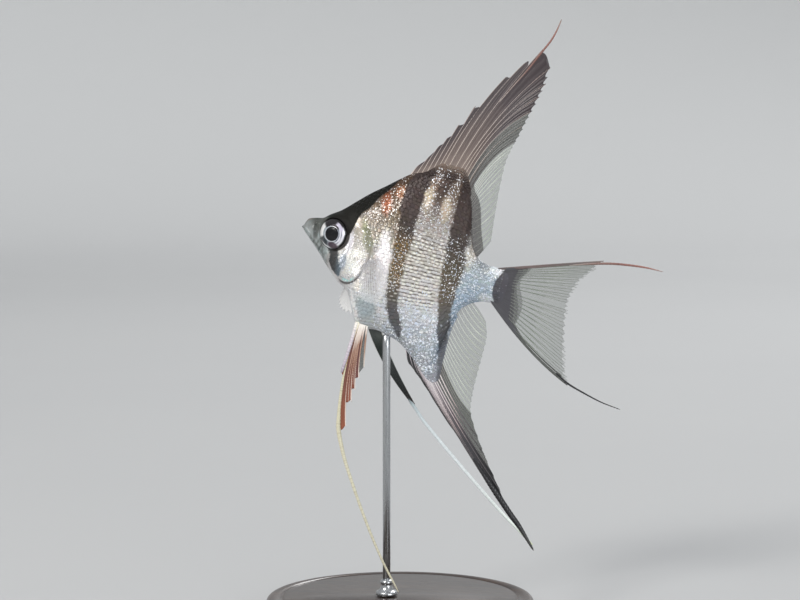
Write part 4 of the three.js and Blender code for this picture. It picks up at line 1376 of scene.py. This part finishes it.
def stepped(fan, first, last, rest, slack, falling=False):
    """Between key rays first and last the membrane runs level from each shorter ray's tip to its
    longer neighbour, so that the tips stand out as steps; rest(u) serves the other rays."""
    count = fan.last
    lengths = np.linalg.norm(fan.keys[:, 2] - fan.keys[:, 0], axis=1)

    def ends(u):
        k = np.clip((u * count).astype(int), 0, count - 1)
        t = u * count - k
        near, far = lengths[k], lengths[np.minimum(k + 1, count)]
        between = near + (far - near) * t
        rising = np.minimum(1, near * (1 + slack * t) / between)
        dropping = np.minimum(1, far * (1 + slack * (1 - t)) / between)
        inside = (u * count >= first) & (u * count < last)
        return np.where(inside, dropping if falling else rising, rest(u))

    return ends


def ray_ends(count, even, uneven):
    return [even + uneven * dice.random() for _ in range(count)]


smoky = fin_material(
    "smoky_skin", "0 4a4544, 0.5 50504b, 1 484b45", "0 b5aea4, 0.5 9a9890, 1 7a7a75",
    alpha=0.62, streaky=0.15,
)
clear = fin_material(
    "clear_skin", "0 666c6a, 0.5 757c75, 1 727972", "0 e4e8e0, 0.5 d5dccb, 1 b9c0b0",
    alpha=0.25, streaky=0.1,
)
pale_rays = fin_material("pale_rays", "ffffff", "0 f6f8f2, 0.5 e6ebdd, 1 b4bbae")


def add_sheets(word, fan, dark_end, clear_start, edge, fringe, look, foot=None):
    """The membranes of the dorsal or anal fin: dark in front, then smoky, then clear; foot(u), if
    given, is how high a smoky band reaches up the clear part."""
    waves, clear_span = 3 * fan.last, (clear_start, 1.0)
    add_membrane(
        f"{word}_membrane", fan, (0.0, dark_end), edge, waves, (look, "dark_fin", f"{word}_fin_front")
    )
    add_membrane(
        f"{word}_membrane_thin", fan, (dark_end, clear_start), fringe, waves, (smoky, "dark_fin")
    )
    if foot:
        add_membrane(
            f"{word}_foot_band", fan, clear_span, foot, waves, (smoky, "dark_fin"),
            thickness=(0.9, 0.3), rows=16,
        )
    add_membrane(
        f"{word}_membrane_clear", fan, clear_span, ragged(waves, 0.03), waves,
        (clear, "clear_fin", f"{word}_fin_rear"), start=foot or MEMBRANE_START,
    )


def add_dorsal():
    look = fin_material(
        "dorsal_skin", "0 8f8078, 0.2 6c5e59, 0.6 443a3d, 1 352b2e",
        "0 b3a597, 0.25 c9bab0, 0.6 b5a7a2, 1 7c6a63", streaky=0.25,
    )
    branches = fin_material("dorsal_branches", "41363a", "0 75675f, 0.4 6b5c57, 0.8 55494a, 1 44383b")
    last = dorsal.last
    fringe = ragged(2 * last, 0.035)
    rest = lambda u: np.where(u < 9.0 / last, 1 - 0.1 * (9.0 - u * last), fringe(u))
    edge = stepped(dorsal, 0, 8, rest, -0.015)
    foot = lambda u: 0.13 + 0.3 * smooth(u, 0.8, 0.97)
    add_sheets("dorsal", dorsal, 12.0 / last, 14.6 / last, edge, fringe, look, foot)
    places = np.array([0, 1, 2, 3, 4, 5, 6, 7, 8, 9, 10, 11, 12, 13.2]) / last
    ends = [1.01] * 6 + [1.0, 1.0, 0.93, 1.0, 1.0, 0.99, 0.98, 0.96]
    add_rays("dorsal_rays", dorsal, places, ends, 0.19, 0.0015, (look, "dark_fin"), split=0.75)
    places = np.array([8.5, 9.5, 10.5, 11.5, 12.5, 13.6, 14.3]) / last
    ends = [0.88, *ray_ends(6, 0.93, 0.04)]
    add_rays("dorsal_branches", dorsal, places, ends, 0.12, 0.006, (branches, "dark_fin"), split=0.6)
    places, ends = np.linspace(14.8, 18.8, 16) / last, ray_ends(16, 0.95, 0.05)
    add_rays("dorsal_rays_clear", dorsal, places, ends, 0.11, 0.002, (pale_rays, "clear_fin"))


def add_anal():
    look = fin_material(
        "anal_skin", "0 a9a6aa, 0.2 90868b, 0.38 635a5f, 0.58 333136, 1 18181c",
        "0 f4f1f2, 0.3 e8dcdc, 0.48 c2aeac, 0.62 5a5054, 1 1d1c20", hem=("0b0b0e", 10.5),
    )
    spines = fin_material(
        "anal_spines", "1d1d20", "0 d9d2d6, 0.3 aca1a7, 0.5 4a454a, 0.62 0e0e12, 1 0b0b0f"
    )
    last = anal.last
    fringe = ragged(2 * last, 0.03)
    add_sheets("anal", anal, 8.6 / last, 11.0 / last, stepped(anal, 0, 6, fringe, -0.02), fringe, look)
    add_rays("anal_spines", anal, np.arange(7) / last, [1.05] * 6 + [1.0], 0.2, 0.0015, (spines, "dark_fin"))
    places = np.array([2.5, 3.5, 4.5, 5.3, 5.7, 6.2, 6.6, 7.0, 7.4, 7.9, 8.5, 9.2, 9.9]) / last
    ends = [0.5, 0.55, 0.6, 0.7, 0.8, *ray_ends(8, 0.97, 0.02)]
    add_rays("anal_rays", anal, places, ends, 0.19, 0.003, (look, "dark_fin"))
    places, ends = np.linspace(10.4, 15.8, 19) / last, ray_ends(19, 0.95, 0.05)
    add_rays("anal_rays_clear", anal, places, ends, 0.11, 0.002, (pale_rays, "clear_fin"))


TAIL_WAVES = 44
TAIL_SHADES = (("47464a", 0.85), ("515352", 0.65), ("5c605d", 0.45))  # colour and alpha
TAIL_SHADE_WIDTH = 0.035


def add_tail():
    root = fin_material("tail_root", "0 454448, 0.2 47464c, 1 4a4b50", "3e4048")
    rays = fin_material("tail_rays", "444444", "0 4b4c50, 0.2 747a73, 0.65 7d8478, 0.85 565d50, 1 3a4034")
    top = fin_material("tail_top", "5c4744", "0 3b2e2f, 0.3 57403c, 0.7 524744, 1 6d5f5b")
    low = fin_material("tail_low", "33343c", "0 34353f, 0.4 3c4039, 1 17190f")
    shades = [
        fin_material(f"tail_shade_{k}", code, code, alpha=alpha, streaky=0.15)
        for k, (code, alpha) in enumerate(TAIL_SHADES)
    ]
    band = lambda u: 0.185 + 0.035 * smooth(u, 0.25, 0.7) + 0.2 * smooth(u, 0.9, 1.0)
    root_start = lambda u: 0.09 * smooth(u, 0.22, 0.02) - 0.02

    def shade_end(k):
        return lambda u: band(u) + TAIL_SHADE_WIDTH * (k + 1) * (1 + 0.3 * np.sin(9 * u + k))

    for word, span in (("upper", (0.0, 0.5)), ("lower", (0.5, 1.0))):
        add_membrane(
            f"tail_root_{word}", tail, span, band, TAIL_WAVES, (root, "dark_fin"),
            start=root_start, thickness=(1.5, 0.24), rows=16, own=True,
        )
        edge = band
        for k, look in enumerate(shades):
            start, edge = edge, shade_end(k)
            add_membrane(
                f"tail_shade_{word}_{k}", tail, span, edge, TAIL_WAVES, (look, "dark_fin"),
                start=start, thickness=(0.24, 0.16), rows=6,
            )
        add_membrane(
            f"tail_membrane_{word}", tail, span, ragged(22, 0.05), TAIL_WAVES,
            (clear, "clear_fin", f"tail_fin_{word}"), start=edge, thickness=(0.26, 0.1),
        )
        places, ends = np.linspace(*span, 12)[1:-1], ray_ends(10, 0.97, 0.05)
        add_rays(f"tail_rays_{word}", tail, places, ends, 0.15, 0.012, (rays, "clear_fin"), split=0.3)
    add_rays("tail_rays_top", tail, [0.0, 0.012, 0.03], [1.0, 0.98, 0.9], 0.34, 0.004, (top, "dark_fin"))
    add_rays("tail_rays_bottom", tail, [1.0, 0.985, 0.965], [1.0, 0.95, 0.93], 0.28, 0.004, (low, "dark_fin"))


def add_pectorals():
    rays = fin_material("pectoral_rays", "ffffff", "0 b5b2b6, 0.6 c6c5ca, 1 d2d2d8")
    for word, fan, alpha in (("left", pectoral_left, 0.12), ("right", pectoral_right, 0.78)):
        look = fin_material(
            f"pectoral_skin_{word}", "0 d4d4d6, 1 fbfbfa", "e8e6ea", alpha=alpha, streaky=0.1
        )
        add_membrane(
            f"pectoral_membrane_{word}", fan, (0.0, 1.0), ragged(11, 0.05), 22,
            (look, "clear_fin", f"pectoral_fin_{word}"), thickness=(0.24, 0.1),
        )
        places, ends = np.linspace(0, 1, 12), ray_ends(12, 0.95, 0.05)
        add_rays(f"pectoral_rays_{word}", fan, places, ends, 0.075, 0.02, (rays, "clear_fin"), split=0.35)


def add_pelvics():
    blade = fin_material(
        "pelvic_skin_left", "0 8a6a5c, 0.15 6b3d31, 0.5 6e3a2a, 0.8 8a4a30, 1 9a5436",
        "0 e9e2da, 0.4 c9b69b, 1 b9a8a2", warm=("5a2726", 0.45, 0.8),
    )
    rays = fin_material(
        "pelvic_rays_left", "ffffff", "0 e9e2da, 0.3 9a7159, 0.55 a27a63, 0.8 c9b6aa, 1 ddd3cb"
    )
    cream = fin_material(
        "pelvic_cream_ray", "ffffff", "0 ede6d0, 0.25 cfb468, 0.5 d4b27c, 0.75 dbcfa2, 1 dcd6ae"
    )
    spine = streamer_material("pelvic_spine_left", "0 f2eee4, 0.3 cdc3ca, 0.7 bdb2bd, 1 a49ba8", "8f858c")
    last = pelvic_left.last
    thin_start = 5.05 / last
    after_second = stepped(pelvic_left, 1, 6, lambda u: 1 + 0 * u, 0.02, falling=True)
    add_membrane(
        "pelvic_membrane_left", pelvic_left, (0.0, thin_start),
        stepped(pelvic_left, 0, 1, after_second, 0.04), 24,
        (blade, "dark_fin", "pelvic_fin_left"), thickness=(0.5, 0.24),
    )
    add_membrane(
        "pelvic_membrane_thin_left", pelvic_left, (thin_start, 1.0), ragged(1, 0.12), 24,
        (smoky, "dark_fin"), thickness=(0.4, 0.16),
    )
    path = pelvic_left.at(np.zeros(6), np.linspace(-0.02, 1.0, 6))
    radii = [(0, 0.6), (0.5, 0.56), (0.9, 0.46), (1, 0.3)]
    add_strand("pelvic_spine_left", path, radii, (spine, "dark_fin"))
    add_rays("pelvic_cream_ray", pelvic_left, [1.0 / last], [1.0], 0.44, 0.004, (cream, "dark_fin"))
    places = np.array([2.0, 2.5, 3.0, 3.5, 4.0, 5.0, 6.0]) / last
    ends = [1.02, 0.86, 1.02, 0.86, 1.02, 1.02, 1.0]
    add_rays("pelvic_rays_left", pelvic_left, places, ends, 0.36, 0.002, (rays, "dark_fin"))

    blade = fin_material(
        "pelvic_skin_right", "0 5c625f, 0.3 2f3835, 0.8 1d2122, 1 2a2220", "0 b9b8ac, 0.5 6f7570, 1 4a4644"
    )
    add_membrane(
        "pelvic_membrane_right", pelvic_right, (0.0, 1.0), ragged(5, 0.05), 15,
        (blade, "dark_fin", "pelvic_fin_right"), thickness=(0.5, 0.2),
    )
    places, ends = np.linspace(0, 1, 5), [1.0] * 5
    add_rays("pelvic_rays_right", pelvic_right, places, ends, 0.2, 0.02, (blade, "dark_fin"), split=0.4)


STREAMER_COLOURS = {
    "red": ("0 a59a94, 0.25 7e655e, 0.5 7d544b, 0.8 93645a, 1 9b8a84", "56352f"),
    "black": ("0 1b1b1f, 0.7 17171a, 1 3a3a38", "0d0d0f"),
    "cream": ("0 cdc7a8, 0.6 d0cbb3, 1 c2bda6", "8f8462"),
    "white": (
        "0 20262a, 0.05 5f6b70, 0.12 a3b0b5, 0.5 e6ecee, 0.85 e4ebe2, 1 cfd6a4", "c3cfd2",
    ),
}
# Each streamer is its node, its look, its path, and its radius at shares of its length.
STREAMERS = [
    (
        "dorsal_filament", "red",
        [
            (50.8, 52.9), (54.5, 60.0), (56.6, 63.9), (58.2, 67.3), (59.8, 70.8), (61.7, 74.9), (62.7, 78.4),
            (63.3, 82.0),
        ],
        [(0, 0.14), (0.35, 0.3), (0.6, 0.32), (1, 0.18)],
    ),
    (
        "anal_filament", "black",
        [
            (70.0, -56.0), (74.0, -59.8), (78.0, -63.3), (81.5, -66.4), (85.5, -69.9), (88.8, -72.6),
            (92.0, -75.6), (95.3, -78.9),
        ],
        [(0, 0.3), (0.35, 0.95), (0.6, 0.9), (1, 0.3)],
    ),
    (
        "tail_filament_upper", "red",
        [(84.0, 9.9), (90.0, 11.9), (96.0, 13.6), (102.0, 14.7), (107.5, 15.3), (112.5, 15.4)],
        [(0, 0.15), (0.3, 0.36), (0.6, 0.34), (1, 0.14)],
    ),
    (
        "tail_filament_lower", "black",
        [(88.4, -23.4), (93.0, -25.6), (97.6, -26.9), (103.8, -28.3), (110.3, -29.0)],
        [(0, 0.2), (0.2, 0.32), (1, 0.13)],
    ),
    (
        "pelvic_filament_left", "cream",
        [
            *pelvic_left.at(np.full(4, 1 / pelvic_left.last), np.array([0.25, 0.5, 0.75, 0.92])),
            (27.3, -5.1, -57.9), (29.6, -5.3, -62.9), (33.2, -5.5, -69.2), (42.0, -6.0, -82.2),
            (50.6, -6.5, -93.4), (58.5, -7.0, -102.0),
        ],
        [(0, 0.25), (0.25, 0.52), (0.42, 0.72), (0.7, 0.5), (1, 0.3)],
    ),
    (
        "pelvic_filament_right", "white",
        [
            (44.6, 5.2, -44.4), (47.2, 5.4, -46.5), (52.4, 5.6, -51.0), (66.7, 6.0, -61.2),
            (80.7, 6.4, -70.7), (87.4, 6.6, -74.8), (93.8, 7.0, -78.8),
        ],
        [(0, 0.24), (0.12, 0.5), (0.6, 0.5), (1, 0.3)],
    ),
]


def add_streamers():
    looks = {
        word: streamer_material(f"{word}_streamer", *colours) for word, colours in STREAMER_COLOURS.items()
    }
    for node, word, path, radii in STREAMERS:
        add_strand(f"{node}_strand", in_depth(path), radii, (looks[word], "streamer", node))


add_sheath(
    "dorsal", dorsal, (0.12, 0.8), lambda u: 0.9 + 3.6 * smooth(u, 0.12, 0.3) * smooth(u, 0.86, 0.5)
)
add_sheath(
    "anal", anal, (0.02, 0.9), lambda u: 1.0 + 4.4 * smooth(u, 0.05, 0.42) * smooth(u, 0.9, 0.55)
)
add_dorsal()
add_anal()
add_tail()
add_pectorals()
add_pelvics()
add_streamers()

# ---- stand ----


def turned(outline, columns, place=(0, 0)):
    """Rings of points round a vertical axis; outline is (radius, height) pairs."""
    outline = np.array(outline, float)
    r, a = np.meshgrid(outline[:, 0], circle(columns), indexing="ij")
    heights = np.repeat(outline[:, 1:], columns, 1)
    return np.stack([place[0] + r * np.cos(a), place[1] + r * np.sin(a), heights], -1)


def add_turned(name, outline, columns, place, *finish):
    """A solid of revolution, its outline from the bottom up."""
    rings = turned(outline, columns, place)
    obj = make_mesh(name, capped(rings), ring_faces(len(rings), columns), in_fish_frame=False)
    finish_piece(obj, *finish)


def wood_material():
    tree = Tree("dark_wood")
    place = tree.millimetres()
    grain = tree.noise(tree.scaled(place, (0.02, 0.28, 0.28)), 1.6, 6.0, 0.65)
    pores = tree.noise(tree.scaled(place, (0.25, 4.5, 4.5)), 1.0, 3.0, 0.6)
    wood = tree.ramp(grain, "0.3 1c1310, 0.5 33231b, 0.68 46311f")
    return tree.finished(
        Base_Color=tree.mix(pores.rise(0.56, 0.68, 0.0, 0.6), wood, "0f0a08"),
        Roughness=pores * 0.3 + 0.25,
        Normal=tree.bump(pores, 0.05, 0.5),
        Coat_Weight=0.5,
        Coat_Roughness=0.15,
    )


def steel_material():
    tree = Tree("steel")
    place = tree.millimetres()
    brushed = tree.noise(tree.scaled(place, (3.0, 3.0, 0.15)), 1.0, 4.0, 0.6)
    smudge = tree.noise(place, 0.12, 2.0)
    return tree.finished(
        Base_Color=tree.mix(brushed, "9fa2a5", "c3c5c7"),
        Metallic=1.0,
        Roughness=brushed * 0.16 + smudge * 0.15 + 0.12,
        Normal=tree.bump(brushed, 0.02, 0.3),
    )


BASE_ROUNDING = 1.6
GROOVE_INSET, GROOVE_RADIUS, GROOVE_DEPTH = 5.0, 0.5, 0.35
ROD_TIP_OVER = 1.1  # how far the rod's tip goes on into the fish


def add_stand():
    _, high = (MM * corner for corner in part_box("stand_base"))
    radius, top = high.x, high.z
    edge = [
        (radius + BASE_ROUNDING * (math.sin(t) - 1), top + BASE_ROUNDING * (math.cos(t) - 1))
        for t in np.linspace(np.pi / 2, 0, 12)
    ]
    groove = [
        (radius - GROOVE_INSET + GROOVE_RADIUS * math.cos(t), top - GROOVE_DEPTH * math.sin(t))
        for t in np.linspace(0, np.pi, 9)
    ]
    add_turned("stand_base_turned", [
        (radius - 1.0, 0.0), (radius - 0.6, 0.15), (radius - 0.45, 0.5), (radius - 0.4, 1.2),
        (radius - 0.05, 1.5), *edge, *groove, (0.4, top),
    ], 192, (0, 0), wood_material(), "stand_base", "stand_base")

    steel = steel_material()
    low, high = (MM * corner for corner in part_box("stand_rod"))
    place, rod = ((low.x + high.x) / 2, 0.0), (high.x - low.x) / 2
    tip = high.z + ROD_TIP_OVER
    add_turned("stand_rod_turned", [
        (rod - 0.1, low.z), (rod, low.z + 0.1), (rod, high.z - 3), (rod, tip - 0.5), (rod - 0.4, tip - 0.1),
        (0.2, tip),
    ], 48, place, steel, "stand_metal", "stand_rod")

    low, high = (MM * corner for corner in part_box("stand_rod_foot"))
    radius, bottom, top = (high.x - low.x) / 2, low.z, high.z
    waist = rod + 0.55
    sweep = [
        (waist + (radius - waist - 0.2) * (1 - math.sin(t)), bottom + 1.3 + 2.2 * (1 - math.cos(t)))
        for t in np.linspace(0, np.pi / 2, 14)
    ]
    add_turned("stand_rod_foot_turned", [
        (radius - 0.15, bottom), (radius, bottom + 0.15), (radius, bottom + 1.0),
        (radius - 0.15, bottom + 1.15), *sweep, (waist + 0.25, top - 1.2), (waist + 0.3, top - 0.7),
        (waist, top - 0.2), (rod + 0.1, top),
    ], 64, place, steel, "stand_metal", "stand_rod_foot")


add_stand()

# ---- floor and lights ----

FLOOR_COLUMNS = 128
FLOOR_FLAT, FLOOR_SWEEP, FLOOR_WALL = 1700, 900, 1300  # flat as far as, bend's radius, wall's top


def add_floor():
    """A pale studio floor that sweeps up into a low wall, far out on every side."""
    tree = Tree("floor")
    place = tree.add("TexCoord", output="Object")
    x, y, _ = tree.split(place)
    near = tree.mix(tree.noise(place, 3.0, 3.0), "b0b1b2", "b5b6b6")
    material = tree.finished(
        Base_Color=tree.mix(hypot(x, y).rise(1.2, 2.3), near, "d6d7d7"),
        Roughness=0.8,
        Specular_IOR_Level=0.2,
    )
    sweep = [
        (FLOOR_FLAT + FLOOR_SWEEP * math.sin(t), FLOOR_SWEEP * (1 - math.cos(t)))
        for t in np.linspace(0, np.pi / 2, 24)
    ]
    edge = FLOOR_FLAT + FLOOR_SWEEP
    rings = turned([(0.5, 0), (300, 0), (900, 0), *sweep, (edge, FLOOR_WALL)], FLOOR_COLUMNS)
    points = np.concatenate([rings.reshape(-1, 3), [[0, 0, 0]]])
    faces = [
        grid_faces(len(rings), FLOOR_COLUMNS, closed=True)[:, ::-1],
        cap_faces(0, FLOOR_COLUMNS, len(points) - 1),
    ]
    floor = make_mesh("floor", points, faces, in_fish_frame=False)
    floor.data.materials.append(material)


add_floor()

LIGHTS_AIM = (0, 0, 0.11)
# Each light is (name, place, size, power, tint).
LIGHTS = [
    ("key", (-0.75, -1.35, 1.15), (0.5, 0.5), 22, (1, 0.98, 0.95)),
    ("fill", (1.3, -1.2, 0.35), (1.0, 0.7), 10, (0.95, 0.98, 1)),
    ("rim", (0.5, 1.4, 1.3), (0.9, 0.6), 16, (1, 1, 1)),
]
ROOM_LOW = (0.3, (0.36, 0.37, 0.38, 1))  # height and light of the room's walls
ROOM_HIGH = (0.95, (0.72, 0.73, 0.75, 1))  # and of its ceiling


def add_light(name, place, size, power, tint):
    lamp = bpy.data.lights.new(name, "AREA")
    lamp.shape = "RECTANGLE"
    lamp.size, lamp.size_y = size
    lamp.energy = power
    lamp.color = tint
    obj = bpy.data.objects.new(name, lamp)
    aim(obj, place, LIGHTS_AIM)
    bpy.context.scene.collection.objects.link(obj)


def add_surroundings():
    """The room over the sweep: plain, and a little brighter overhead."""
    look = bpy.data.worlds.new("studio")
    look.use_nodes = True
    nodes, links = look.node_tree.nodes, look.node_tree.links
    way = nodes.new("ShaderNodeTexCoord")
    split = nodes.new("ShaderNodeSeparateXYZ")
    tone = nodes.new("ShaderNodeValToRGB")
    links.new(way.outputs["Generated"], split.inputs[0])
    links.new(split.outputs["Z"], tone.inputs[0])
    links.new(tone.outputs[0], nodes["Background"].inputs["Color"])
    for element, (height, light) in zip(tone.color_ramp.elements, (ROOM_LOW, ROOM_HIGH)):
        element.position, element.color = height, light
    bpy.context.scene.world = look


for light in LIGHTS:
    add_light(*light)
add_surroundings()
bpy.context.scene.view_settings.view_transform = "Standard"
